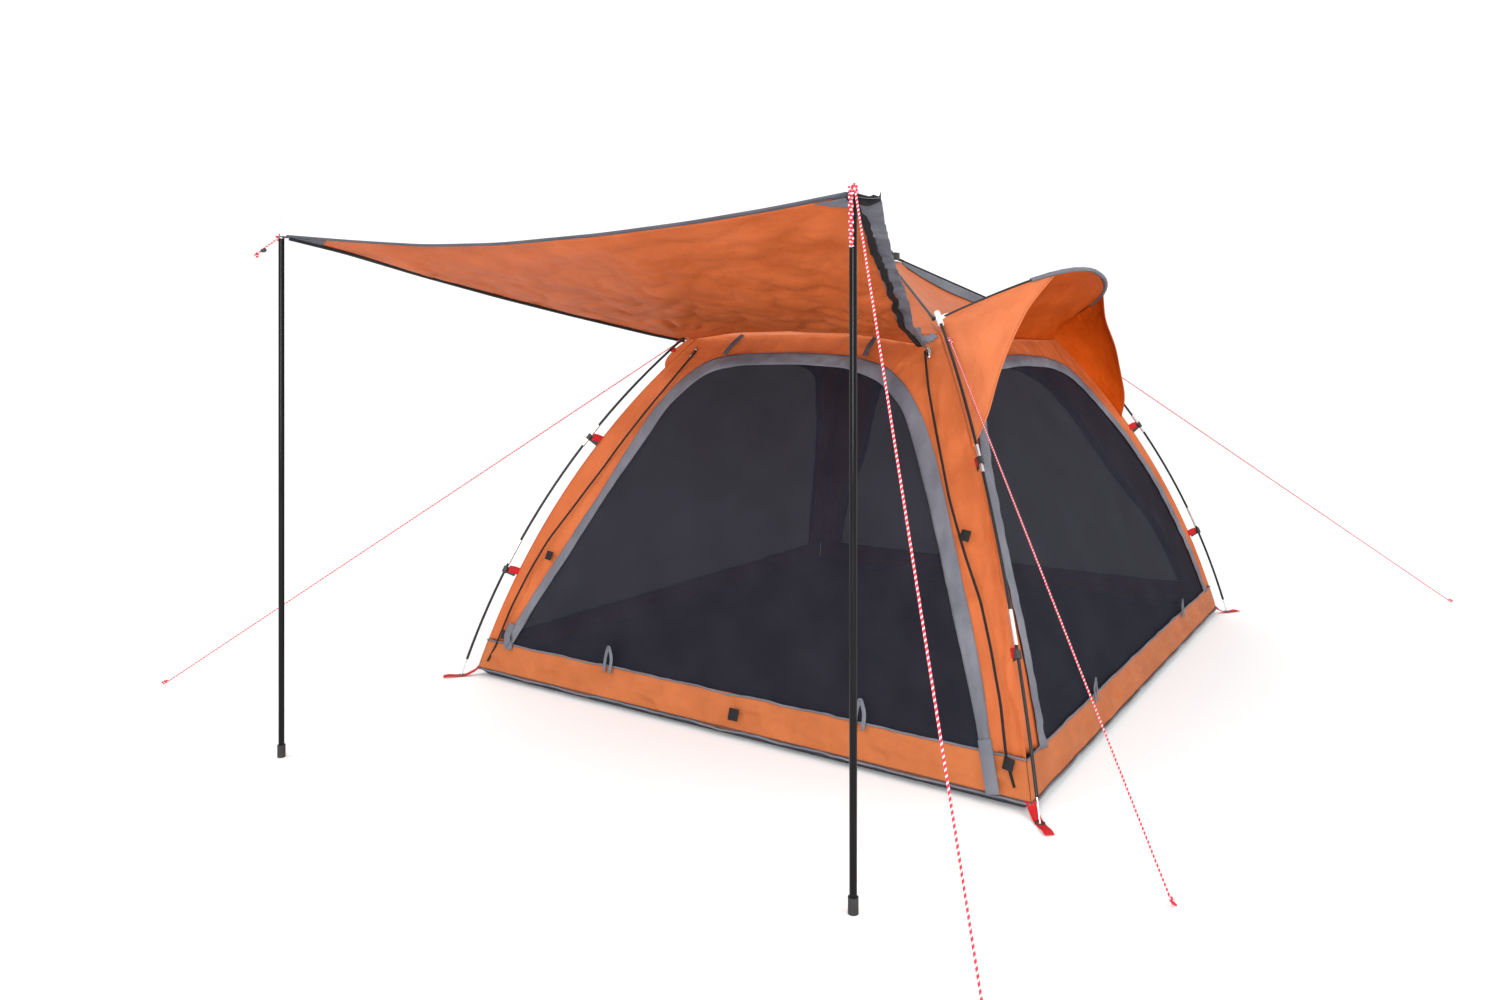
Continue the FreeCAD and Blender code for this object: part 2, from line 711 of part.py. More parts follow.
def build_hub():
    """Slotted hub disc with four arm pins and a cap."""
    base = UP * (size["hub_height"] - size["hub_thickness"] / 2)
    disc = cylinder("hub_radius", "hub_thickness", frame_at(base, UP))
    slots = []
    pins = []
    holes = []
    for corner in CORNERS:
        outward, across, arm_side = radial(corner)
        axis_at = across * (arm_side * size["arm_offset"]) + UP * size["hub_height"]
        middle = outward * size["hub_slot_inner"] + axis_at
        slot_place = frame_at(middle, UP, outward)
        slots.append(block("hub_radius", "hub_slot_width", "hub_thickness + fabric", slot_place))
        pin_middle = outward * size["hub_pin_radius"] + axis_at
        place = frame_at(pin_middle - across * (size["hub_pin_length"] / 2), across)
        pins.append(cylinder("hub_pin_diameter / 2", "hub_pin_length", place))
        holes.append(cylinder("hub_pin_diameter / 2", "hub_pin_length", place))
    node("hub_body", cut(cut(disc, fuse(*slots)), fuse(*holes)))
    node("hub_pins", group(*pins))
    cap_at = UP * (size["hub_height"] + size["hub_thickness"] / 2)
    cap = cylinder("hub_cap_radius", "hub_cap_height", frame_at(cap_at, UP))
    rounded = doc.addObject("Part::Fillet", "cap_round")
    rounded.Base = cap
    doc.recompute()
    top_edge = 1 + next(
        number for number, edge in enumerate(cap.Shape.Edges)
        if edge.Closed and edge.CenterOfMass.z > cap_at.z + size["hub_cap_height"] / 2
    )
    rounded.Edges = [(top_edge, size["hub_cap_height"] / 2, size["hub_cap_height"] / 2)]
    node("hub_cap", rounded)


def build_anchors():
    """Corner webbing with its tail, and the ring that takes each leg's pin."""
    straps = []
    rings = []
    for corner in CORNERS:
        outward, across, _ = radial(corner)
        ring_at = outward * foot_radius
        start = outward * (half_diagonal + 2)
        middle = UP * (size["strap_thickness"] / 2)
        strap_place = frame_at(start + middle, UP, outward)
        strap = block("foot_reach + strap_tail", "strap_width", "strap_thickness", strap_place)
        straps.append(cut(strap, cylinder("ring_bore / 2", "strap_thickness", frame_at(ring_at, UP))))
        rim_at = ring_at + UP * size["strap_thickness"]
        rim = cylinder("ring_diameter / 2", "ring_thickness", frame_at(rim_at, UP))
        rings.append(cut(rim, cylinder("ring_bore / 2", "ring_thickness", frame_at(rim_at, UP))))
    node("corner_straps", group(*straps))
    node("corner_rings", group(*rings))


# ---------------------------------------------------------------- awning poles

POLE = "pole_diameter / 2"
FOOT_FLOOR = 4


def build_awning_poles():
    """Each pole: three push-fit tubes, a rubber foot and a top pin."""
    feet = []
    pins = []
    for name in ("left", "right"):
        base = FreeCAD.Vector(size[f"pole_{name}_x"], size[f"pole_{name}_y"], 0)
        levels = (FOOT_FLOOR, size["pole_lower_joint"], size["pole_upper_joint"], size["pole_height"])
        for part, low, high in zip(("lower", "middle", "upper"), levels, levels[1:]):
            place = frame_at(base + UP * low, UP)
            length = str(high - low)
            tube = cut(cylinder(POLE, length, place), cylinder(f"{POLE} - pole_wall", length, place))
            if part != "upper":
                neck = frame_at(base + UP * (high - size["pole_spigot"] / 2), UP)
                spigot = cylinder(f"{POLE} - pole_wall", "pole_spigot", neck)
                spigot = cut(spigot, cylinder(f"{POLE} - 2 * pole_wall", "pole_spigot", neck))
                tube = fuse(tube, spigot)
            node(f"awning_pole_{name}_{part}", tube)
        shell = cylinder("pole_foot_diameter / 2", "pole_foot_height", frame_at(base, UP))
        feet.append(cut(shell, cylinder(POLE, "pole_foot_height", frame_at(base + UP * FOOT_FLOOR, UP))))
        plug_at = base + UP * (size["pole_height"] - 20)
        plug = cylinder(f"{POLE} - pole_wall", "20", frame_at(plug_at, UP))
        top = frame_at(base + UP * size["pole_height"], UP)
        collar = cylinder(POLE, "fabric", top)
        spike = cylinder("top_pin_diameter / 2", "top_pin_length + fabric", top)
        pins.append(fuse(plug, collar, spike))
    node("awning_pole_feet", group(*feet))
    node("awning_pole_pins", group(*pins))


# ---------------------------------------------------------------- guy ropes

ROPE_ENDS = {
    "front_left": (-1800, -1880),
    "front_right": (1386, -1460),
    "rear_right": (1849, 2007),
}
POLE_ROPE_END = (1372, -2362)
LOOSE_TAIL = (-70, -25, -48)
ROPE_STANDOFF = 11


def rope(label, start, end):
    """One tight rope, from where it is tied to its loop on the ground."""
    thing = cylinder("rope_diameter / 2", str((end - start).Length), frame_at(start, end - start))
    node(label, thing)
    print(label, "length", round((end - start).Length))


def build_ropes():
    for corner, (x, y) in ROPE_ENDS.items():
        arm_side = CORNERS[corner][2]
        start = leg_point(corner, size["rope_share"], -arm_side * ROPE_STANDOFF)[0]
        rope(f"guy_rope_{corner}", start, FreeCAD.Vector(x, y, size["rope_rest_height"]))
    tie_height = size["pole_height"] + 2 * size["rope_diameter"]
    tie = FreeCAD.Vector(size["pole_right_x"], size["pole_right_y"], tie_height)
    way = FreeCAD.Vector(POLE_ROPE_END[0] - tie.x, POLE_ROPE_END[1] - tie.y, 0).normalize()
    start = tie + way * (size["pole_diameter"] / 2 + 4)
    rope("guy_rope_awning_right", start, FreeCAD.Vector(*POLE_ROPE_END, size["rope_rest_height"]))
    tie = FreeCAD.Vector(size["pole_left_x"], size["pole_left_y"], size["pole_height"])
    start = tie + FreeCAD.Vector(-size["pole_diameter"] / 2 - 4, 0, 4)
    rope("guy_rope_awning_left", start, start + FreeCAD.Vector(*LOOSE_TAIL))


# ---------------------------------------------------------------- build, check and write

build_cabin()
build_roof()
build_hood()
build_brow_pole()
build_awning()
build_zips()
for corner in CORNERS:
    build_leg(corner)
    build_arm(corner)
build_hub()
build_anchors()
build_awning_poles()
build_ropes()
doc.recompute()

failed = [thing.Label for thing in doc.Objects if {"Invalid", "Error"} & set(thing.State)]
for thing in NODES:
    shape = thing.Shape
    if shape.isNull() or not shape.isValid() or not shape.Solids:
        failed.append(thing.Label)
if failed:
    raise SystemExit("failed: " + ", ".join(failed))

os.makedirs("parts", exist_ok=True)
for thing in NODES:
    thing.Shape.exportStep(os.path.join("parts", thing.Label + ".step"))
print(len(NODES), "sub-parts written")
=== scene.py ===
"""Looks of the hub tent: fabric, mesh, zips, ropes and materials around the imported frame. Metres."""
import math

import bpy
import numpy as np
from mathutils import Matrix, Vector


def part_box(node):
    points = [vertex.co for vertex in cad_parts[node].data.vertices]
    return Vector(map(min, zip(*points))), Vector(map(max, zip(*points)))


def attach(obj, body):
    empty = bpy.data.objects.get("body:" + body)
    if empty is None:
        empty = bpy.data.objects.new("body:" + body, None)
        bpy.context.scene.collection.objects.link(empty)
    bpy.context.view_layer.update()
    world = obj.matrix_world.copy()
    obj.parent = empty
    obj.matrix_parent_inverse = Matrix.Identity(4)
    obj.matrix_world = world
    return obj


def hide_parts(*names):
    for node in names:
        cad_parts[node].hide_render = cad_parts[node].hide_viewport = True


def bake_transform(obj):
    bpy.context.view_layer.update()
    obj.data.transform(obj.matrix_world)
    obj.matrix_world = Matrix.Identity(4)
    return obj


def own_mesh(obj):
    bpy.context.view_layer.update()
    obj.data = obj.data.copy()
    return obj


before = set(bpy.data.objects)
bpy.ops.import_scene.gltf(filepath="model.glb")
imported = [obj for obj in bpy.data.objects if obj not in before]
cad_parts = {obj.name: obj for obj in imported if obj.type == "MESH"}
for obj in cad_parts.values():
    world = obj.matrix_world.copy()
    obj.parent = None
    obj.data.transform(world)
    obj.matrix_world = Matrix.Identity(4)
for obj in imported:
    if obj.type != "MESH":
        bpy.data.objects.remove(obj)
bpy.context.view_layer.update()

# ------------------------------------------------------------------ camera
camera_data = bpy.data.cameras.new("camera")
camera_data.lens = 25.06
camera_data.sensor_width = 36.0
camera_data.shift_y = -0.0983
camera_data.clip_end = 100.0
camera = bpy.data.objects.new("camera", camera_data)
camera.location = (1.866, -3.724, 1.14)
camera.rotation_euler = (math.radians(90), 0, 0.5938)
bpy.context.scene.collection.objects.link(camera)
bpy.context.scene.camera = camera

# ------------------------------------------------------------------ shape helpers
# a leg's axis is an arc from its foot to its elbow, with the middle this far off the straight line
FOOT_R, FOOT_Z, ELBOW_R, ELBOW_Z, BOW = 1.61705, 0.006, 0.75, 1.25, 0.110
# share of a leg's distance from the middle that is width, and that is depth
UNIT_X, UNIT_Y = 0.64018, 0.76822
CHORD = math.hypot(FOOT_R - ELBOW_R, ELBOW_Z - FOOT_Z)
ARC_R = CHORD * CHORD / (8 * BOW) + BOW / 2
ARC_MID = math.atan2(FOOT_R - ELBOW_R, ELBOW_Z - FOOT_Z)
ARC_X = (FOOT_R + ELBOW_R) / 2 - (ARC_R - BOW) * math.cos(ARC_MID)
ARC_Z = (FOOT_Z + ELBOW_Z) / 2 - (ARC_R - BOW) * math.sin(ARC_MID)
# the cloth hangs this far inside the legs
INSET = 0.050
EAVE, BAND_TOP, FLOOR_EDGE = 1.203, 0.118, 0.024
CLOTH_THICK = 0.0012
ENDS = ("front", "rear")
# sides whose sheets are made back to front
TURNED = ("rear", "left")


def leg_radius(z):
    """Distance of a leg's axis from the middle at a height."""
    return ARC_X + ARC_R * np.cos(np.arcsin((np.asarray(z, float) - ARC_Z) / ARC_R))


def half_width(z):
    """Half the cabin's width at a height."""
    return UNIT_X * (leg_radius(z) - INSET)


def half_depth(z):
    """Half the cabin's depth at a height."""
    return UNIT_Y * (leg_radius(z) - INSET)


def noise(a, b, size, seed, octaves=3):
    """Smooth wandering value, about -1 to 1, the same on every run."""
    rng = np.random.default_rng(seed)
    total, weight = 0.0, 0.0
    for octave in range(octaves):
        gain = 0.5 ** octave
        for _ in range(4):
            turn, phase = rng.uniform(0, 2 * math.pi, 2)
            rate = 2 * math.pi * 2 ** octave / size * rng.uniform(0.7, 1.3)
            total = total + gain * np.sin(rate * (a * math.cos(turn) + b * math.sin(turn)) + phase)
        weight += 1.6 * gain
    return total / weight


def creases(a, b, size, seed):
    """Sharp soft-sided folds, 0 in the flat to 1 on a fold."""
    return np.clip(1 - 2.2 * np.abs(noise(a, b, size, seed, 2)), 0, 1) ** 1.6


def wall_at(side, across, z, out=0.0):
    """A point on a wall's outer surface, moved out by a little."""
    across, z = np.broadcast_arrays(np.asarray(across, float), np.asarray(z, float))
    reach = half_depth(z) if side in ENDS else half_width(z)
    half = half_width(z) if side in ENDS else half_depth(z)
    share = np.clip(across / half, -1, 1)
    belly = 0.020 * (1 - share ** 2) * np.sin(np.pi * np.clip(z / EAVE, 0, 1))
    reach = reach - belly + out
    if side == "front":
        return stacked(across, -reach, z)
    if side == "rear":
        return stacked(across, reach, z)
    if side == "right":
        return stacked(reach, across, z)
    return stacked(-reach, across, z)


def build(name, points, faces, uvs=None, mat=None, smooth=True):
    """A mesh object from points, faces and one UV per point."""
    mesh = bpy.data.meshes.new(name)
    mesh.from_pydata([tuple(map(float, p)) for p in points], [], [tuple(map(int, f)) for f in faces])
    mesh.validate()
    if uvs is not None:
        layer = mesh.uv_layers.new(name="UVMap")
        flat = np.asarray(uvs, float)
        index = np.empty(len(mesh.loops), dtype=np.int32)
        mesh.loops.foreach_get("vertex_index", index)
        layer.data.foreach_set("uv", flat[index].astype(np.float32).ravel())
    mesh.polygons.foreach_set("use_smooth", [smooth] * len(mesh.polygons))
    obj = bpy.data.objects.new(name, mesh)
    bpy.context.scene.collection.objects.link(obj)
    if mat is not None:
        mesh.materials.append(mat)
    return obj


def grid(name, points, uvs, mat, thick=0.0, flip=False, inside=None):
    """A sheet from a table of points, (rows, columns, 3), with its back in another material if asked: a
    darker copy of the cloth that paints shade on the back.
    """
    rows, columns = points.shape[:2]
    at = np.arange(rows * columns).reshape(rows, columns)
    quads = np.stack([at[:-1, :-1], at[:-1, 1:], at[1:, 1:], at[1:, :-1]], -1).reshape(-1, 4)
    if flip:
        quads = quads[:, ::-1]
    obj = build(name, points.reshape(-1, 3), quads, uvs.reshape(-1, 2), mat)
    if thick:
        shell = obj.modifiers.new("cloth", "SOLIDIFY")
        shell.thickness = thick
        shell.offset = -1.0
        if inside is not None:
            obj.data.materials.append(inside)
            shell.material_offset = 1
    return obj


def resample(line, count):
    """A line's points, evenly spaced."""
    line = np.asarray(line, float)
    steps = np.r_[0, np.cumsum(np.linalg.norm(np.diff(line, axis=0), axis=1))]
    at = np.linspace(0, steps[-1], count)
    return np.stack([np.interp(at, steps, line[:, k]) for k in range(line.shape[1])], -1)


def smooth_line(line, count, rounds=6):
    """A line through measured points with its corners eased."""
    points = resample(line, count)
    for _ in range(rounds):
        points[1:-1] = 0.5 * points[1:-1] + 0.25 * (points[:-2] + points[2:])
    return points


def stacked(*parts):
    """Several tables of one coordinate each as one table of points."""
    return np.stack(np.broadcast_arrays(*parts), -1)


def unit(v):
    """The same directions with a length of one."""
    v = np.asarray(v, float)
    return v / np.maximum(np.linalg.norm(v, axis=-1, keepdims=True), 1e-12)


def coons(start, end, first, last):
    """A surface between four edges: rows run along start and end, columns from first to last."""
    u = np.linspace(0, 1, len(start))[:, None, None]
    v = np.linspace(0, 1, len(first))[None, :, None]
    return ((1 - v) * start[:, None] + v * end[:, None] + (1 - u) * first[None] + u * last[None]
            - (1 - u) * (1 - v) * start[0] - u * (1 - v) * start[-1] - (1 - u) * v * end[0]
            - u * v * end[-1])


def tube_faces(count, ring):
    """The faces of a tube with closed ends, from its number of rings and of points on each."""
    at = np.arange(count * ring).reshape(count, ring)
    nxt = np.roll(at, -1, axis=1)
    quads = np.stack([at[:-1], at[1:], nxt[1:], nxt[:-1]], -1).reshape(-1, 4).tolist()
    return quads + [at[0].tolist(), at[-1][::-1].tolist()]


ROUND = [(math.cos(a), math.sin(a)) for a in np.linspace(0, 2 * math.pi, 9)[:-1]]


def sweep(name, path, up, width, thick, mat, profile=None, taper=None):
    """A tape, cord or tube along a path. up is the flat side's normal, one or one per point."""
    path = np.asarray(path, float)
    count = len(path)
    along = unit(np.gradient(path, axis=0))
    up = np.broadcast_to(np.asarray(up, float), path.shape)
    side = unit(np.cross(along, up))
    normal = unit(np.cross(side, along))
    if profile is None:
        w, t, r = width / 2, thick / 2, min(width, thick) / 4
        profile = [(w, -t + r), (w, t - r), (w - r, t), (-w + r, t), (-w, t - r), (-w, -t + r),
                   (-w + r, -t), (w - r, -t)]
    else:
        profile = [(a * width / 2, b * thick / 2) for a, b in profile]
    scale = np.ones(count) if taper is None else np.asarray(taper, float)
    rings = [path + (side * a + normal * b) * scale[:, None] for a, b in profile]
    points = np.stack(rings, 1)
    ring = len(profile)
    length = np.r_[0, np.cumsum(np.linalg.norm(np.diff(path, axis=0), axis=1))]
    girth = np.linspace(0, 2 * (width + thick), ring, endpoint=False)
    uvs = stacked(girth[None, :], length[:, None])
    return build(name, points.reshape(-1, 3), tube_faces(count, ring), uvs.reshape(-1, 2), mat,
                 smooth=ring > 5)


def join(name, objs):
    """One piece out of several with the same material."""
    points, faces, uvs, mats = [], [], [], []
    start = 0
    for obj in objs:
        mesh = obj.data
        points += [tuple(v.co) for v in mesh.vertices]
        faces += [tuple(i + start for i in p.vertices) for p in mesh.polygons]
        local = np.zeros((len(mesh.vertices), 2))
        if mesh.uv_layers:
            for loop, item in zip(mesh.loops, mesh.uv_layers[0].data):
                local[loop.vertex_index] = item.uv
        uvs.append(local)
        start += len(mesh.vertices)
        mats.append(mesh.materials[0])
        bpy.data.objects.remove(obj)
    return build(name, points, faces, np.concatenate(uvs), mats[0])


def sinks(piece, *nodes, slot=None):
    """Cloth of the cabin, on the tent's body, with the CAD nodes it stands for hidden."""
    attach(piece, "tent")
    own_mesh(piece)
    if nodes:
        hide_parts(*nodes)
    return piece


def moves_with(piece, body, node):
    """A piece on a body that moves by itself, with the CAD node it stands for hidden."""
    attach(piece, body)
    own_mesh(piece)
    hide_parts(node)


# ------------------------------------------------------------------ materials
def nodes_of(name):
    """A new material with its node tree and its shader."""
    mat = bpy.data.materials.new(name)
    mat.use_nodes = True
    return mat, mat.node_tree, mat.node_tree.nodes["Principled BSDF"]


def feed(tree, node, inputs):
    """Sets a node's inputs, each to a number, to a colour or to another node's output."""
    for key, value in inputs.items():
        if isinstance(value, bpy.types.NodeSocket):
            tree.links.new(value, node.inputs[key])
        else:
            node.inputs[key].default_value = value


def add(tree, kind, inputs, **settings):
    """A new node with its settings and its inputs."""
    node = tree.nodes.new("ShaderNode" + kind)
    for key, value in settings.items():
        setattr(node, key, value)
    feed(tree, node, inputs)
    return node


def mapped(tree, source):
    """The piece's own coordinates, in metres."""
    return tree.nodes.new("ShaderNodeTexCoord").outputs[source]


def ramp(tree, factor, places, colours):
    """A colour that goes from one to another between two values."""
    node = add(tree, "ValToRGB", {"Fac": factor})
    for stop, place, colour in zip(node.color_ramp.elements, places, colours):
        stop.position = place
        stop.color = (*colour, 1)
    return node.outputs["Color"]


def mottled(tree, vector, size, detail, low, high):
    """A colour that wanders between two."""
    tex = add(tree, "TexNoise", {"Scale": 1 / size, "Detail": detail, "Vector": vector})
    return ramp(tree, tex.outputs["Fac"], (0.3, 0.7), (low, high))


def bumped(tree, height, strength, depth, before):
    """Bump from a height, on top of another bump if there is one."""
    inputs = {"Strength": strength, "Distance": depth, "Height": height}
    if before is not None:
        inputs["Normal"] = before
    return add(tree, "Bump", inputs).outputs["Normal"]


def weave(tree, vector, pitch, depth, before=None):
    """Over-and-under bump of a plain weave."""
    bands = {"Scale": 1 / (pitch * 3.18), "Distortion": 0.6, "Vector": vector}
    threads = [add(tree, "TexWave", bands, wave_type="BANDS", bands_direction=way) for way in ("X", "Y")]
    both = add(tree, "Math", {k: wave.outputs["Fac"] for k, wave in enumerate(threads)}, operation="MULTIPLY")
    return bumped(tree, both.outputs[0], 0.5, depth, before)


def rumple(tree, vector, size, depth, before=None):
    """Small soft creases as bump."""
    tex = add(tree, "TexNoise", {"Scale": 1 / size, "Detail": 5, "Vector": vector})
    return bumped(tree, tex.outputs["Fac"], 0.6, depth, before)


def cloth(name, low, high, rough, pitch=0.0012, rumpled=0.004, alpha=1.0, gloss=0.15):
    """Woven cloth: a colour that wanders between two, two sizes of crease and a weave."""
    mat, tree, shader = nodes_of(name)
    vector = mapped(tree, "UV")
    colour = mottled(tree, vector, 0.16, 6, low, high)
    broad = rumple(tree, vector, 0.17, rumpled * 1.8)
    soft = rumple(tree, vector, 0.055, rumpled, broad)
    feed(tree, shader, {"Base Color": colour, "Normal": weave(tree, vector, pitch, 0.0004, soft),
                        "Roughness": rough, "Specular IOR Level": gloss, "Alpha": alpha})
    return mat


def hard(name, low, high, rough, metal=0.0, gloss=0.5, grain=0.003, depth=0.0002):
    """Plastic, rubber, paint or metal with a fine grain."""
    mat, tree, shader = nodes_of(name)
    vector = mapped(tree, "Object")
    colour = mottled(tree, vector, grain * 6, 4, low, high)
    feed(tree, shader, {"Base Color": colour, "Normal": rumple(tree, vector, grain, depth),
                        "Roughness": rough, "Metallic": metal, "Specular IOR Level": gloss})
    return mat


def rope_material(name):
    """Red braid with white flecks that wind round it."""
    mat, tree, shader = nodes_of(name)
    split = add(tree, "SeparateXYZ", {0: mapped(tree, "UV")})
    winding = {0: split.outputs["Y"], 1: 1 / 0.0095, 2: split.outputs["X"]}
    turns = add(tree, "Math", winding, operation="MULTIPLY_ADD")
    saw = add(tree, "Math", {0: turns.outputs[0]}, operation="FRACT")
    colour = ramp(tree, saw.outputs[0], (0.55, 0.66), ((0.56, 0.012, 0.030), (0.78, 0.52, 0.55)))
    braid = weave(tree, mapped(tree, "Object"), 0.0009, 0.0003)
    feed(tree, shader, {"Base Color": colour, "Normal": braid, "Roughness": 0.75})
    return mat


ORANGE = cloth("orange fabric", (0.440, 0.104, 0.030), (0.545, 0.140, 0.043), 0.55, rumpled=0.010)
# darker, greyer orange of the base bands: partly their own cloth, partly painted shade low on the walls
BASE_ORANGE_AND_SHADE = cloth("orange base fabric with painted shade", (0.350, 0.096, 0.028), (0.440, 0.128, 0.040), 0.55, rumpled=0.012)
# paler orange of the coated cloth on roof, hood and awning: partly its own colour, partly a painted glow of
# light shining through the hood's thin cheeks
ORANGE_ROOF_AND_GLOW = cloth("orange coated fabric with painted glow", (0.480, 0.124, 0.042), (0.580, 0.162, 0.060), 0.50,
                    rumpled=0.009)
# darker copies of the cloth for the backs of the sheets: painted shade on the awning's underside and on the
# cabin's inner faces
AWNING_UNDERSIDE_SHADE = cloth("awning fabric, painted underside shade", (0.400, 0.082, 0.018), (0.530, 0.122, 0.034), 0.60,
                      rumpled=0.007)
ORANGE_INSIDE_SHADE = cloth("orange fabric, painted inside shade", (0.440, 0.062, 0.003), (0.560, 0.086, 0.006), 0.65,
                      rumpled=0.010, gloss=0.05)
GREY = cloth("grey fabric", (0.098, 0.102, 0.124), (0.172, 0.176, 0.206), 0.50, rumpled=0.010)
DARK_GREY = cloth("dark grey fabric", (0.055, 0.058, 0.075), (0.090, 0.094, 0.115), 0.55)
MESH = cloth("insect mesh", (0.013, 0.013, 0.020), (0.020, 0.020, 0.029), 0.85, pitch=0.0016, rumpled=0.003,
             alpha=0.88, gloss=0.04)
FLOOR = cloth("floor cloth", (0.036, 0.038, 0.050), (0.056, 0.059, 0.074), 0.50)
RED = cloth("red webbing", (0.420, 0.008, 0.012), (0.520, 0.016, 0.020), 0.60, pitch=0.0020, rumpled=0.001)
BLACK_TAPE = cloth("black tape", (0.010, 0.010, 0.011), (0.020, 0.020, 0.022), 0.65, pitch=0.0010,
                   rumpled=0.001)
ROPE = rope_material("braided rope")
BLACK_ROD = hard("black rod", (0.010, 0.010, 0.011), (0.016, 0.016, 0.018), 0.30, gloss=0.25, grain=0.02,
                 depth=0.00004)
BLACK_POLE = hard("black pole", (0.004, 0.004, 0.005), (0.007, 0.007, 0.008), 0.12, gloss=0.12, grain=0.03,
                  depth=0.00003)
BLACK_PLASTIC = hard("black plastic", (0.012, 0.012, 0.013), (0.022, 0.022, 0.024), 0.48)
WHITE_PLASTIC = hard("white plastic", (0.72, 0.71, 0.69), (0.84, 0.83, 0.81), 0.35)
RUBBER = hard("rubber", (0.011, 0.011, 0.011), (0.020, 0.020, 0.020), 0.75)
STEEL = hard("bright steel", (0.60, 0.60, 0.61), (0.76, 0.76, 0.77), 0.28, metal=1.0)
ZINC = hard("plated zinc", (0.58, 0.58, 0.60), (0.72, 0.72, 0.74), 0.22, metal=1.0)

# ------------------------------------------------------------------ guy ropes
ROPE_D = 0.0050


def rope(name, route, node, with_pieces):
    """A cord on a smooth line through a few points, as a twisted three-strand tube."""
    curve = bpy.data.curves.new(name + "_line", "CURVE")
    curve.dimensions = "3D"
    curve.resolution_u = max(16, int(math.dist(route[0], route[-1]) / 0.018))
    spline = curve.splines.new("NURBS")
    spline.points.add(len(route) - 1)
    for item, spot in zip(spline.points, route):
        item.co = (*spot, 1.0)
    spline.order_u = 3
    spline.use_endpoint_u = True
    holder = bpy.data.objects.new(name + "_line", curve)
    bpy.context.scene.collection.objects.link(holder)
    bpy.context.view_layer.update()
    line = bpy.data.meshes.new_from_object(holder.evaluated_get(bpy.context.evaluated_depsgraph_get()))
    path = np.array([tuple(v.co) for v in line.vertices])
    bpy.data.objects.remove(holder)
    gaps = np.linalg.norm(np.diff(path, axis=0), axis=1)
    path, gaps = path[np.r_[True, gaps > 1e-5]], gaps[gaps > 1e-5]
    travel = np.r_[0, np.cumsum(gaps)]
    length, count = float(travel[-1]), len(path)
    along = unit(np.gradient(path, axis=0))
    helper = np.array([0.0, 0.0, 1.0]) if abs(along[0][2]) < 0.95 else np.array([1.0, 0.0, 0.0])
    side = unit(np.cross(along, helper))
    normal = np.cross(side, along)
    ring = 12
    angle = np.linspace(0, 2 * math.pi, ring, endpoint=False)
    lobes = ROPE_D / 2 * (0.93 + 0.07 * np.cos(3 * angle[None, :] - 2 * math.pi * travel[:, None] / 0.016))
    points = (path[:, None] + side[:, None] * (lobes * np.cos(angle))[..., None]
              + normal[:, None] * (lobes * np.sin(angle))[..., None])
    uvs = stacked((angle / (2 * math.pi))[None, :], travel[:, None])
    piece = build(name, points.reshape(-1, 3), tube_faces(count, ring), uvs.reshape(-1, 2), ROPE)
    sinks(piece, node, slot="rope")
    return piece


def knot(name, spot, way, size=0.015):
    """A pulled-tight overhand knot in the cord, about a point, with its loop along a direction."""
    way = unit(way)
    side = unit(np.cross(way, (0.31, 0.52, 0.79)))
    face = np.cross(way, side)
    t = np.linspace(0, 2 * math.pi, 72)
    wide = np.sin(t) + 2 * np.sin(2 * t)
    high = np.cos(t) - 2 * np.cos(2 * t)
    deep = -np.sin(3 * t)
    bends = way * high[:, None] * 1.15 + side * wide[:, None] + face * deep[:, None] * 1.3
    line = np.array(spot) + size / 6 * bends
    return sinks(sweep(name, line, face, ROPE_D * 0.98, ROPE_D * 0.98, ROPE, profile=ROUND), slot="rope")


# each rope's route, from where it is tied down to the ground
GUY_ROPES = {
    "front_left": [(-0.5425, -0.634, 1.179), (-0.5633, -0.6546, 1.1596), (-1.7794, -1.8596, 0.0243),
                   (-1.800, -1.880, 0.005)],
    "front_right": [(0.5425, -0.634, 1.179), (0.5577, -0.6488, 1.1578), (1.3708, -1.4449, 0.0261),
                    (1.386, -1.460, 0.005)],
    "rear_right": [(0.5425, 0.634, 1.179), (0.5600, 0.6525, 1.1632), (1.8314, 1.9885, 0.0208),
                   (1.849, 2.007, 0.005)],
    "awning_right": [(0.8605, -1.8554, 1.472), (0.8699, -1.8647, 1.4450), (1.3626, -2.3527, 0.0319),
                     (1.372, -2.362, 0.005)],
}


def bight(k):
    """A twisted strand of the rope's spare length, doubled back at the right pole's pin."""
    turn = np.linspace(0, 7 * math.pi, 150) + k * math.pi
    fall = np.linspace(0, 1, 150)
    strand = np.stack([0.853 + 0.0032 * np.cos(turn) + 0.004 * fall,
                       -1.8600 + 0.0032 * np.sin(turn) - 0.004 * fall, 1.476 - 0.122 * fall], -1)
    piece = sweep(f"rope_bight_{k}", strand, (0.3, 1, 0.1), ROPE_D * 0.98, ROPE_D * 0.98, ROPE,
                  profile=ROUND)
    return sinks(piece, slot="rope")


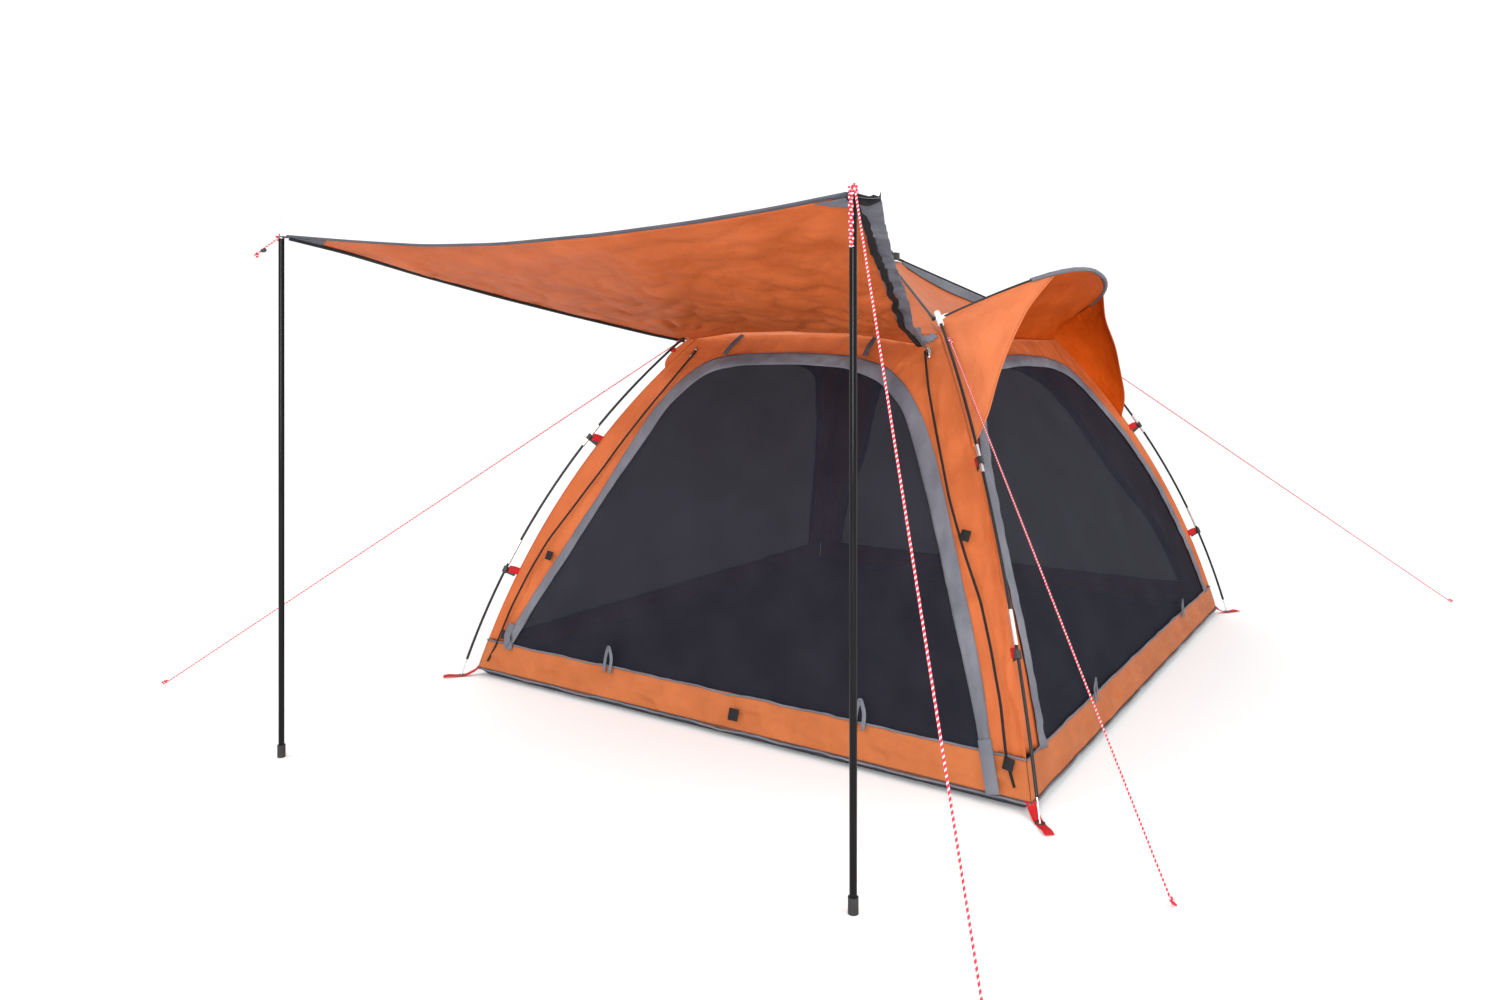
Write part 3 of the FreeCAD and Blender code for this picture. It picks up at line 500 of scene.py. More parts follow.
for name, route in GUY_ROPES.items():
    route = np.array(route)
    end_knot = knot(f"rope_knot_{name}", route[-1] + (0, 0, 0.006), route[-1] - route[0])
    start_knot = knot(f"rope_tie_{name}", route[0], route[-1] - route[0], 0.018)
    rope(f"guy_rope_{name}_cord", [tuple(spot) for spot in route], f"guy_rope_{name}",
         [end_knot, start_knot] + ([bight(0), bight(1)] if name == "awning_right" else []))
left_route = [(-0.890, -2.022, 1.466), (-0.905, -2.030, 1.452), (-0.935, -2.040, 1.437),
              (-0.960, -2.047, 1.418)]
tail_knot = knot("rope_knot_awning_left", left_route[-1], (-0.4, -0.1, -0.9), 0.013)
tail_tie = knot("rope_tie_awning_left", left_route[0], (-0.8, -0.3, -0.4), 0.018)
loose = np.array([-0.935, -2.040, 1.437])
toggle_line = resample([loose - (-0.006, -0.002, 0.006), loose + (-0.008, -0.003, -0.008)], 5)
toggle = sweep("rope_toggle_awning_left", toggle_line, (0, 1, 0.1), 0.012, 0.012, BLACK_PLASTIC,
               profile=ROUND, taper=[0.7, 1, 1, 1, 0.7])
sinks(toggle, slot="black_plastic")
rope("guy_rope_awning_left_cord", left_route, "guy_rope_awning_left",
     [tail_knot, tail_tie, toggle])

# ------------------------------------------------------------------ walls, bands and mesh
# edges of the door and of the windows as (across, z): the grey band lies between the outer and the inner
DOOR_OUTER = [(0.893, BAND_TOP), (0.880, 0.139), (0.849, 0.259), (0.798, 0.395), (0.711, 0.590),
              (0.650, 0.720), (0.588, 0.838), (0.520, 0.940), (0.426, 1.040), (0.340, 1.095),
              (0.200, 1.128), (0.000, 1.138), (-0.258, 1.135), (-0.374, 1.116), (-0.439, 1.071),
              (-0.494, 1.005), (-0.527, 0.946), (-0.562, 0.853), (-0.598, 0.747), (-0.640, 0.628),
              (-0.680, 0.550), (-0.726, 0.445), (-0.780, 0.345), (-0.820, 0.264), (-0.858, 0.194),
              (-0.893, BAND_TOP)]
DOOR_INNER = [(0.860, BAND_TOP), (0.855, 0.144), (0.820, 0.237), (0.778, 0.337), (0.667, 0.585),
              (0.601, 0.716), (0.521, 0.855), (0.450, 0.964), (0.341, 1.048), (0.200, 1.092),
              (0.000, 1.103), (-0.229, 1.099), (-0.360, 1.076), (-0.430, 1.013), (-0.485, 0.933),
              (-0.520, 0.827), (-0.568, 0.728), (-0.610, 0.636), (-0.658, 0.524), (-0.701, 0.427),
              (-0.745, 0.343), (-0.786, 0.268), (-0.831, 0.169), (-0.858, BAND_TOP)]
SIDE_OUTER = [(1.085, BAND_TOP), (1.060, 0.220), (0.990, 0.400), (0.900, 0.600), (0.760, 0.810),
              (0.650, 0.930), (0.560, 1.035), (0.470, 1.090), (0.295, 1.120), (0.000, 1.132),
              (-0.295, 1.120), (-0.470, 1.090), (-0.580, 1.035), (-0.680, 0.960), (-0.824, 0.821),
              (-0.915, 0.680), (-0.965, 0.560), (-1.005, 0.400), (-1.040, 0.260), (-1.075, BAND_TOP)]
SIDE_INNER = [(1.045, BAND_TOP), (1.015, 0.220), (0.945, 0.400), (0.852, 0.600), (0.712, 0.800),
              (0.600, 0.915), (0.515, 1.005), (0.430, 1.055), (0.280, 1.085), (0.000, 1.095),
              (-0.283, 1.085), (-0.440, 1.050), (-0.545, 1.000), (-0.640, 0.930), (-0.775, 0.800),
              (-0.865, 0.655), (-0.920, 0.540), (-0.962, 0.390), (-1.000, 0.250), (-1.035, BAND_TOP)]


def mirrored(half):
    """A whole outline from its right half, which ends in the middle."""
    return half + [(-a, z) for a, z in half[-2::-1]]


REAR_OUTER = mirrored([(0.893, BAND_TOP), (0.849, 0.259), (0.798, 0.395), (0.640, 0.640), (0.520, 0.880),
                       (0.430, 1.030), (0.340, 1.095), (0.200, 1.128), (0.000, 1.138)])
REAR_INNER = mirrored([(0.855, BAND_TOP), (0.810, 0.250), (0.758, 0.380), (0.598, 0.630), (0.480, 0.865),
                       (0.390, 1.000), (0.300, 1.062), (0.180, 1.092), (0.000, 1.100)])


def ray_reach(line, angles):
    """How far a ray from the sill's middle goes before it meets a line."""
    line = np.asarray(line, float) - (0, BAND_TOP)
    turn = np.unwrap(np.arctan2(line[:, 1], line[:, 0]))
    far = np.hypot(line[:, 0], line[:, 1])
    return np.interp(angles, turn, far)


def wall_outline(side):
    """The wall's corner, eave and corner lines as (across, z)."""
    z = np.linspace(BAND_TOP, EAVE, 60)
    half = half_width(z) if side in ENDS else half_depth(z)
    eave = np.linspace(half[-1], -half[-1], 60)[1:-1]
    return list(zip(half, z)) + [(across, EAVE) for across in eave] + list(zip(-half[::-1], z[::-1]))


def wall_relief(across, z, seed):
    """Depth of the cloth's folds on a wall, in metres."""
    soft = 0.0050 * noise(across, z, 0.42, seed)
    large = 0.0065 * creases(across * 1.5, z * 0.5, 0.30, seed + 1)
    small = 0.0030 * creases(across * 2.4, z, 0.22, seed + 2)
    return soft + (large + small) - 0.010


def make_wall(side, outer, inner, seed, names):
    """Cloth frame, grey band and mesh panel of one wall."""
    outer, inner = smooth_line(outer, 400, 40), smooth_line(inner, 400, 40)
    outer[0, 1] = outer[-1, 1] = inner[0, 1] = inner[-1, 1] = BAND_TOP
    outline = np.array(wall_outline(side))
    corner = [math.atan2(z - BAND_TOP, a) for a, z in outline if z > EAVE - 1e-6]
    angles = np.sort(np.r_[np.linspace(0, math.pi, 220), corner])
    cos, sin = np.cos(angles), np.sin(angles)
    reach = {k: ray_reach(v, angles) for k, v in (("wall", outline), ("outer", outer), ("inner", inner))}
    lo, hi = reach["outer"] - 0.006, reach["wall"]
    steps = np.linspace(0, 1, 18)[None, :]
    far = lo[:, None] + (hi - lo)[:, None] * steps
    across, z = far * cos[:, None], BAND_TOP + far * sin[:, None]
    fade = np.minimum(1, np.minimum(steps, 1 - steps) * 5)
    relief = wall_relief(across, z, seed) * fade
    wall = grid(names[0], wall_at(side, across, z, relief), stacked(across, z), ORANGE, CLOTH_THICK,
                flip=side in TURNED, inside=ORANGE_INSIDE_SHADE)
    # band
    steps = np.linspace(0, 1, 7)[None, :]
    lo, hi = reach["inner"] - 0.003, reach["outer"] + 0.003
    far = lo[:, None] + (hi - lo)[:, None] * steps
    across, z = far * cos[:, None], BAND_TOP + far * sin[:, None]
    length = np.cumsum(np.r_[0, np.hypot(np.diff(across[:, 3]), np.diff(z[:, 3]))])[:, None]
    crown = 0.0035 * np.sin(np.pi * steps)
    pucker = 0.0045 * noise(length, steps * 0.06, 0.085, seed + 3)
    pucker = pucker + 0.0040 * creases(length * 0.6, steps * 0.05, 0.11, seed + 4)
    pucker = pucker * np.sin(np.pi * np.clip(steps, 0.08, 0.92))
    band = grid(names[1], wall_at(side, across, z, 0.0050 + crown + pucker),
                stacked(length, steps * 0.045), GREY, CLOTH_THICK, flip=side in TURNED)
    # mesh
    steps = np.linspace(0, 1, 26)[None, :] ** 0.8
    far = reach["inner"][:, None] * steps + 0.003
    across, z = far * cos[:, None], BAND_TOP + far * sin[:, None]
    fold = 0.0018 * creases(across * 1.7, z * 0.35, 0.34, seed + 5) - 0.004 * (1 - steps ** 6)
    net = grid(names[2], wall_at(side, across, z, fold - 0.0015), stacked(across, z), MESH,
               flip=side in TURNED)
    return wall, band, net


WALLS = {
    "front": (DOOR_OUTER, DOOR_INNER, 11, "front_wall", "front_door"),
    "rear": (REAR_OUTER, REAR_INNER, 23, "rear_wall", "rear_mesh"),
    "right": (SIDE_OUTER, SIDE_INNER, 37, "right_wall", "right_mesh"),
    "left": (SIDE_OUTER, SIDE_INNER, 41, "left_wall", "left_mesh"),
}
for side, (outer, inner, seed, wall_node, mesh_node) in WALLS.items():
    names = (f"{side}_wall_cloth", f"{side}_band", f"{side}_mesh_panel")
    wall, band, net = make_wall(side, outer, inner, seed, names)
    sinks(wall, wall_node, slot="orange_fabric")
    sinks(band, slot="grey_fabric")
    if side == "front":
        moves_with(net, "door_panel", mesh_node)
    else:
        sinks(net, mesh_node, slot="mesh")

# ------------------------------------------------------------------ base bands, floor and piping
for side in WALLS:
    seed = 60 + list(WALLS).index(side)
    z = np.linspace(FLOOR_EDGE, BAND_TOP + 0.004, 12)[None, :]
    share = np.linspace(-1, 1, 200)[:, None]
    half = half_width(z) if side in ENDS else half_depth(z)
    across = share * half
    rise = np.pi * (z - FLOOR_EDGE) / (BAND_TOP - FLOOR_EDGE + 0.004)
    fade = np.minimum(1, (1 - np.abs(share)) * 12) * np.sin(rise)
    folds = 0.0080 * creases(across * 0.45, z * 3.4, 0.22, seed)
    folds = folds + 0.0045 * noise(across, z * 3, 0.15, seed + 9)
    base = grid(f"{side}_base_band", wall_at(side, across, z, 0.0020 + folds * fade),
                stacked(across, z), BASE_ORANGE_AND_SHADE, CLOTH_THICK, flip=side not in TURNED)
    sinks(base, slot="orange_fabric")
    line = np.linspace(-1, 1, 160)
    outward = {"front": (0, -1, 0.3), "rear": (0, 1, 0.3), "right": (1, 0, 0.3), "left": (-1, 0, 0.3)}[side]
    for level, lift, part in ((BAND_TOP + 0.003, 0.0035, "piping"), (FLOOR_EDGE, 0.0045, "hem")):
        reach = float((half_width if side in ENDS else half_depth)(level))
        wob = 0.0022 * noise(line * reach, line * 0, 0.20, seed + 4)
        path = wall_at(side, line * reach, level + wob, lift)
        trim = sweep(f"{side}_base_{part}", path, outward, 0.006, 0.005, GREY, profile=ROUND)
        sinks(trim, slot="grey_fabric")

# floor with a turned-up edge
HX, HY = float(half_width(0.02)), float(half_depth(0.02))
rows = np.linspace(-1, 1, 90)[:, None]
cols = np.linspace(-1, 1, 76)[None, :]
edge = np.maximum(np.abs(rows), np.abs(cols))
rise = np.clip((edge - 0.985) / 0.015, 0, 1)
x, y = cols * HX * (1 + 0.001 * rise), rows * HY * (1 + 0.001 * rise)
lump = 0.0035 * np.clip(noise(x, y, 0.55, 71) + 0.5 * creases(x, y, 0.5, 72), 0, 1)
lump = lump * (1 - rise) * (edge < 0.97)
z = 0.0022 + lump + (FLOOR_EDGE + 0.004) * rise
floor = grid("floor_sheet", stacked(x, y, z), stacked(x, y), FLOOR, CLOTH_THICK)
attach(floor, "tent")
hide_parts("ground_sheet")

# ------------------------------------------------------------------ roof
TOP = 0.040
ROOF_TOP = 1.500
EX, EY = float(half_width(1.2)), float(half_depth(1.2))


def roof_height(share, up, seed):
    """Height of a roof panel, sagging between its ridges."""
    sag = 0.030 * (1 - share ** 2) * np.sin(np.pi * up) + 0.012 * (1 - share ** 2) * (1 - up)
    fold = 0.004 * creases(share * 0.8, up * 0.5, 0.40, seed)
    fold = fold * (1 - share ** 2) * np.sin(np.pi * np.clip(up, 0.02, 1))
    return EAVE + (ROOF_TOP - EAVE) * up - sag + fold


for side in WALLS:
    up = np.linspace(0, 1, 40)[:, None]
    share = np.linspace(-1, 1, 44)[None, :]
    along_x = EX + (TOP - EX) * up
    along_y = EY + (TOP - EY) * up
    z = roof_height(share, up, 80 + list(WALLS).index(side))
    if side in ENDS:
        x, y = share * along_x, (-1 if side == "front" else 1) * along_y + 0 * share
    else:
        x, y = (1 if side == "right" else -1) * along_x + 0 * share, share * along_y
    panel = grid(f"{side}_roof_panel", stacked(x, y, z),
                 stacked(share * 0.5, up * 0.6), ORANGE_ROOF_AND_GLOW, CLOTH_THICK, flip=side in TURNED,
                 inside=ORANGE_INSIDE_SHADE)
    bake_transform(panel)
    if side == "front":
        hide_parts("roof_canopy")

# ------------------------------------------------------------------ visor over the right window
# the brow pole's line from the front elbow to the rear elbow
BROW = [(0.480, -0.576, 1.250), (0.572, -0.541, 1.294), (0.665, -0.500, 1.337), (0.768, -0.423, 1.386),
        (0.832, -0.290, 1.416), (0.848, -0.120, 1.422), (0.828, 0.080, 1.406), (0.792, 0.230, 1.386),
        (0.735, 0.365, 1.352), (0.620, 0.490, 1.305), (0.480, 0.576, 1.250)]
BROW_COUNT = 121

brow = smooth_line(BROW, BROW_COUNT, 40)
inner_y = np.linspace(-0.560, 0.560, BROW_COUNT)
inner = np.stack([np.full(BROW_COUNT, EX + 0.004), inner_y, np.full(BROW_COUNT, 1.192)], -1)
t = np.linspace(0, 1, 26)[None, :]
surface = inner[:, None] + (brow - inner)[:, None] * t[..., None]
across = np.linspace(-1, 1, BROW_COUNT)[:, None]
lift = 0.012 * np.sin(np.pi * t) * (1 - across ** 2)
lift = lift + 0.004 * noise(across * 0.6, t * 0.4, 0.25, 91) * np.sin(np.pi * t)
surface = surface + lift[..., None] * np.array([-0.4, 0, 0.9])
uvs = stacked(across * 0.6, t * 0.4)
hood = grid("hood_right_top", surface, uvs, ORANGE_ROOF_AND_GLOW, CLOTH_THICK, inside=ORANGE_INSIDE_SHADE)
sinks(hood, "hood_right", slot="coated_fabric")

# sleeve of the brow pole over its middle, and the pole
middle = brow[25:100]
sleeve = sweep("brow_sleeve_right", middle, (0.3, 0, 1), 0.019, 0.015, GREY, profile=ROUND,
               taper=1 + 0.05 * np.sin(np.arange(len(middle)) * 1.3))
sinks(sleeve, slot="grey_fabric")
rod = sweep("brow_rod_right", brow, (0.3, 0, 1), 0.0085, 0.0085, BLACK_ROD, profile=ROUND)
sinks(rod, "brow_pole_right", slot="black_rod")

# cheeks between the brow pole, the leg and a free curved edge
for end, flip_y in (("front", 1), ("rear", -1)):
    turn = np.array([1, flip_y, 1])
    bow = brow if end == "front" else brow[::-1] * turn
    high = resample(bow[:34], 40)
    low_z = np.linspace(1.225, 0.865, 40)
    tuck = -0.008 if end == "rear" else 0.004
    low = np.stack([half_width(low_z) + tuck, -half_depth(low_z) - tuck, low_z], -1)
    upper = (0.744, -0.490, 1.284) if end == "front" else (0.722, -0.470, 1.270)
    free = smooth_line([tuple(high[-1]), upper, (0.728, -0.610, 1.163), (0.722, -0.700, 1.060),
                        (0.724, -0.780, 0.950), tuple(low[-1])], 40, 10)
    seam = np.linspace(high[0], low[0], 40)
    patch = coons(high, low, seam, free)
    u, v = np.linspace(0, 1, 40)[:, None], np.linspace(0, 1, 40)[None, :]
    puff = 0.022 * np.sin(np.pi * u) * np.sin(np.pi * v)
    patch = patch + puff[..., None] * np.array([0.6, -0.6, 0.2])
    uvs = stacked(u * 0.5, v * 0.5)
    cheek = grid(f"hood_right_{end}_cheek", patch * turn, uvs, ORANGE_ROOF_AND_GLOW, CLOTH_THICK, flip=flip_y < 0,
                 inside=ORANGE_INSIDE_SHADE)
    sinks(cheek, slot="coated_fabric")
    hem = sweep(f"hood_right_{end}_piping", free * turn, (0.8, -0.6 * flip_y, 0), 0.006, 0.005, ORANGE_ROOF_AND_GLOW,
                profile=ROUND)
    sinks(hem, slot="coated_fabric")

# ------------------------------------------------------------------ awning
# points along each edge of the awning
N = 90


def eased(points):
    """An edge of the awning through its measured points."""
    return smooth_line(points, N, 8)


seam_edge = eased([(-0.543, -0.597, 1.187), (-0.304, -0.600, 1.214), (-0.050, -0.600, 1.216),
                   (0.189, -0.600, 1.204), (0.440, -0.604, 1.165)])
left_edge = eased([(-0.543, -0.597, 1.187), (-0.595, -0.711, 1.209), (-0.700, -1.050, 1.277),
                   (-0.756, -1.309, 1.327), (-0.800, -1.595, 1.384), (-0.820, -1.850, 1.436),
                   (-0.862, -2.004, 1.466)])
right_edge = eased([(0.440, -0.604, 1.165), (0.505, -0.850, 1.245), (0.623, -1.239, 1.335),
                    (0.735, -1.540, 1.400), (0.838, -1.832, 1.463)])
front_edge = eased([(-0.862, -2.004, 1.466), (-0.700, -1.915, 1.450), (-0.500, -1.820, 1.434),
                    (-0.250, -1.775, 1.428), (0.107, -1.767, 1.432), (0.400, -1.782, 1.440),
                    (0.650, -1.808, 1.451), (0.838, -1.832, 1.463)])
# U runs left to right, V from the seam out to the poles
U, V = np.linspace(0, 1, N)[:, None], np.linspace(0, 1, N)[None, :]
sheet_points = coons(seam_edge, front_edge, left_edge, right_edge)
inside = np.sin(np.pi * U) * np.sin(np.pi * V)


def pleats(x, y, count, reach, seed):
    """Tight folds that fan out from a corner the cloth is pulled at, sharp on top and soft between."""
    dx, dy = sheet_points[..., 0] - x, sheet_points[..., 1] - y
    mid_x, mid_y = -0.05 - x, -1.20 - y
    turn = np.arctan2(mid_x * dy - mid_y * dx, mid_x * dx + mid_y * dy)
    away = np.hypot(dx, dy)
    fan = np.sin(count * turn + 1.6 * np.sin(3 * turn + seed) + 0.5 * noise(away, turn * 0.1, 0.5, seed))
    return (1 - 2 * np.abs(fan) ** 0.8) * np.exp(-away / reach) * np.minimum(1, away / 0.22)


SX, SY = sheet_points[..., 0], sheet_points[..., 1]
rays = 0.0095 * pleats(0.84, -1.835, 13, 0.70, 3) + 0.0110 * pleats(0.44, -0.604, 11, 0.50, 4)
rays = rays + 0.0035 * pleats(-0.862, -2.004, 9, 0.50, 5) + 0.0055 * pleats(-0.543, -0.597, 9, 0.40, 6)
crumple = 0.012 * (creases(SX, SY * 0.8, 0.34, 131) - 0.3) * (1 - V) ** 0.5
crumple = crumple + 0.003 * (creases(SX * 1.4, SY, 0.22, 137) - 0.3)
broad = 0.010 * noise(SX, SY * 0.6, 0.75, 133)
drop = -0.030 * inside + (rays + crumple + broad) * np.minimum(1, 8 * inside)
sheet_points[..., 2] += drop
uvs = sheet_points[..., :2].copy()
awning = grid("awning_sheet", sheet_points, uvs, ORANGE_ROOF_AND_GLOW, CLOTH_THICK, inside=AWNING_UNDERSIDE_SHADE)
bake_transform(awning)
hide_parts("awning")


def follows_awning(piece):
    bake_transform(piece)
    return piece


bar = sweep("awning_front_hem", front_edge + (0, -0.006, 0.002), (0, 0, 1), 0.026, 0.006, DARK_GREY)
follows_awning(bar)
bar = sweep("awning_left_zip", left_edge + (-0.004, 0, -0.004), (0, 0, 1), 0.020, 0.009, BLACK_TAPE)
follows_awning(bar)
flap_in = eased([(0.838, -1.832, 1.463), (0.787, -1.655, 1.424), (0.717, -1.485, 1.388),
                 (0.651, -1.310, 1.350), (0.551, -1.037, 1.288), (0.457, -0.803, 1.225),
                 (0.440, -0.630, 1.168)])
flap_out = eased([(0.905, -1.830, 1.462), (0.836, -1.664, 1.422), (0.746, -1.453, 1.385),
                  (0.700, -1.330, 1.352), (0.600, -1.050, 1.290), (0.506, -0.820, 1.226),
                  (0.470, -0.640, 1.166)])
w = np.linspace(0, 1, 10)[None, :, None]
flap_points = (flap_in - (0.014, 0, 0.001))[:, None] * (1 - w) + flap_out[:, None] * w
wave = 0.006 * noise(np.linspace(0, 1.4, N)[:, None], w[..., 0] * 0.06, 0.11, 141) * (0.3 + w[..., 0])
flap_points[..., 2] += wave - 0.010 * w[..., 0] ** 2
flap = grid("storm_flap_cloth", flap_points, stacked(np.linspace(0, 1.4, N)[:, None], w[..., 0] * 0.07),
            GREY, CLOTH_THICK)
follows_awning(flap)
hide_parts("storm_flap")
wander = 0.0035 * noise(np.linspace(0, 1.4, N), np.zeros(N), 0.20, 151)
edge = flap_in + np.stack([wander - 0.002, np.zeros(N), -0.006 + 0.5 * wander], -1)
bar = sweep("awning_right_zip", edge, (0, 0, 1), 0.018, 0.006, BLACK_TAPE)
follows_awning(bar)

# ------------------------------------------------------------------ zips of the front wall
ZIP_RIGHT = [(0.458, 1.146), (0.512, 1.028), (0.565, 0.925), (0.618, 0.819), (0.664, 0.722),
             (0.744, 0.578), (0.808, 0.472), (0.854, 0.363), (0.898, 0.238), (0.929, 0.111),
             (0.955, 0.055)]
BLOCK = ((-1, -1, -1), (1, -1, -1), (1, 1, -1), (-1, 1, -1), (-1, -1, 1), (1, -1, 1), (1, 1, 1), (-1, 1, 1))
BLOCK_FACES = ((0, 3, 2, 1), (4, 5, 6, 7), (0, 1, 5, 4), (1, 2, 6, 5), (2, 3, 7, 6), (3, 0, 4, 7))


def zip_teeth(name, spots):
    """A row of small blocks along a line, set a little to either side by turns."""
    along = unit(np.gradient(spots, axis=0))
    up = unit(np.array([0, -1, 0.35]))
    side = unit(np.cross(along, up))
    points, faces = [], []
    for k, (spot, a, s) in enumerate(zip(spots, along, side)):
        faces += [[len(points) + i for i in face] for face in BLOCK_FACES]
        middle = spot + s * (0.0006 if k % 2 else -0.0006)
        points += [middle + a * da * 0.0008 + s * ds * 0.0018 + up * du * 0.0008 for da, ds, du in BLOCK]
    return build(name, points, faces, np.zeros((len(points), 2)), BLACK_TAPE, smooth=False)


zips = []
for sign in (1, -1):
    line = smooth_line(ZIP_RIGHT, 120, 6) * (sign, 1)
    path = wall_at("front", line[:, 0], line[:, 1], 0.0050)
    zips.append(sweep(f"zip_{sign}", path, (0, -1, 0.35), 0.007, 0.0035, BLACK_TAPE))
    zips.append(zip_teeth(f"teeth_{sign}", wall_at("front", *resample(line, 420).T, 0.0068)))
zip_piece = join("zip_tapes", zips)
sinks(zip_piece, "zip_tracks", slot="zip_tape")

# ------------------------------------------------------------------ small sewn-on pieces
OUT = {"front": (0, -1, 0.35), "rear": (0, 1, 0.35), "right": (1, 0, 0.35), "left": (-1, 0, 0.35)}


def tape_on(name, side, line, lifts, width, thick, mat, slot):
    """A short tape on a wall, through (across, z) points, each lifted off it by its own amount."""
    line = np.asarray(line, float)
    raw = np.column_stack([line, lifts])
    fine = smooth_line(raw, 24, 3)
    path = wall_at(side, fine[:, 0], fine[:, 1], fine[:, 2])
    return sinks(sweep(name, path, OUT[side], width, thick, mat), slot=slot)


for k, (across, z) in enumerate(((0.735, 0.630), (0.936, 0.105), (-0.780, 0.425), (-0.895, 0.150))):
    line = [(across - 0.002, z - 0.014), (across + 0.002, z + 0.014)]
    tape_on(f"hook_square_{k}", "front", line, (0.0095, 0.0095), 0.028, 0.003, BLACK_TAPE, "zip_tape")
tape_on("hook_square_band", "front", [(0.10, 0.055), (0.10, 0.087)], (0.014, 0.014), 0.034, 0.003,
        BLACK_TAPE, "zip_tape")


def standing_loop(name, side, across, middle, top, lift):
    """A loop of tape that stands up from the base band."""
    line = [(across - 0.012, 0.105), (across - 0.013, middle), (across, top), (across + 0.014, middle),
            (across + 0.012, 0.105)]
    tape_on(name, side, line, (0.010, 0.016, lift, 0.016, 0.010), 0.012, 0.002, GREY, "grey_fabric")


for k, across in enumerate((-0.410, 0.510)):
    standing_loop(f"door_loop_{k}", "front", across, 0.150, 0.192, 0.030)
for k, across in enumerate((-0.580, 0.615)):
    standing_loop(f"window_loop_{k}", "right", across, 0.145, 0.177, 0.028)
for k, (top, low) in enumerate((((-0.285, 1.205), (-0.320, 1.135)), ((0.260, 1.190), (0.250, 1.130)))):
    middle = ((top[0] + low[0]) / 2, (top[1] + low[1]) / 2)
    tape_on(f"door_tie_{k}", "front", [top, middle, low], (0.006, 0.016, 0.012), 0.016, 0.003, DARK_GREY,
            "grey_fabric")
tape_on("band_flap_right", "front", [(0.868, 0.150), (0.885, 0.100), (0.900, 0.050), (0.905, 0.030)],
        (0.012, 0.017, 0.016, 0.014), 0.036, 0.002, GREY, "grey_fabric")
tape_on("band_fold_left", "front", [(-0.872, 0.190), (-0.880, 0.150), (-0.868, 0.120), (-0.850, 0.125)],
        (0.008, 0.012, 0.014, 0.010), 0.030, 0.003, GREY, "grey_fabric")

# red tabs from the clips to the cloth, webbing at the corners, and the gussets under the elbows
CORNERS = {"front_left": (-1, -1), "front_right": (1, -1), "rear_right": (1, 1), "rear_left": (-1, 1)}


def leg_at(corner, z, inward=0.0):
    """A point on a leg's axis at a height, or nearer the middle by some metres."""
    sx, sy = CORNERS[corner]
    reach = float(leg_radius(z)) - inward
    return np.array([sx * UNIT_X * reach, sy * UNIT_Y * reach, z])


def arc_height(share):
    """Height of a leg's axis at a share of its length."""
    low = math.asin((FOOT_Z - ARC_Z) / ARC_R)
    high = math.asin((ELBOW_Z - ARC_Z) / ARC_R)
    return ARC_Z + ARC_R * math.sin(low + (high - low) * share)


for corner, (sx, sy) in CORNERS.items():
    away = np.array([sx * UNIT_X, sy * UNIT_Y, 0.0])
    across = np.array([-away[1], away[0], 0.0])
    for k, share in enumerate((0.255, 0.615)):
        z = arc_height(share)
        path = np.array([leg_at(corner, z, 0.012), leg_at(corner, z - 0.004, 0.032),
                         leg_at(corner, z - 0.012, 0.056)])
        tab = sweep(f"clip_tab_{corner}_{k}", resample(path, 8), across, 0.026, 0.003, RED)
        sinks(tab, slot="red_webbing")
    foot = away * FOOT_R
    start = leg_at(corner, 0.030, 0.052)
    path = np.array([start, start + away * 0.012 + (0, 0, -0.012), foot - away * 0.014 + (0, 0, 0.003),
                     foot + away * 0.016 + (0, 0, 0.0028), foot + away * 0.045 + (0, 0, 0.007),
                     foot + away * 0.062 + (0, 0, 0.004)])
    fine = smooth_line(path, 40, 4)
    fine[:, 2] = np.maximum(fine[:, 2], 0.0022)
    strap = sweep(f"corner_strap_{corner}", fine, (0, 0, 1) + away * 0.2, 0.024, 0.0028, RED)
    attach(strap, "tent")
    if corner == "front_left":
        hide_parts("corner_straps")
    # gusset
    if sx < 0:
        tip = leg_at(corner, 1.150, 0.014)
        top, low = leg_at(corner, 1.235, 0.048), leg_at(corner, 1.085, 0.050)
        u = np.linspace(0, 1, 14)[:, None, None]
        v = np.linspace(0, 1, 14)[None, :, None]
        edge = top * (1 - u) + low * u
        free = (1 - u) ** 2 * top + 2 * u * (1 - u) * (2 * tip - (top + low) / 2) + u ** 2 * low
        patch = edge * (1 - v) + free * v
        gusset = grid(f"gusset_{corner}", patch, stacked(u[..., 0] * 0.15, v[..., 0] * 0.05), ORANGE,
                      CLOTH_THICK)
        sinks(gusset, slot="orange_fabric")
        pull = sweep(f"gusset_tab_{corner}", np.array([tip - away * 0.006, tip, tip + away * 0.012]),
                     across, 0.016, 0.003, RED)
        sinks(pull, slot="red_webbing")

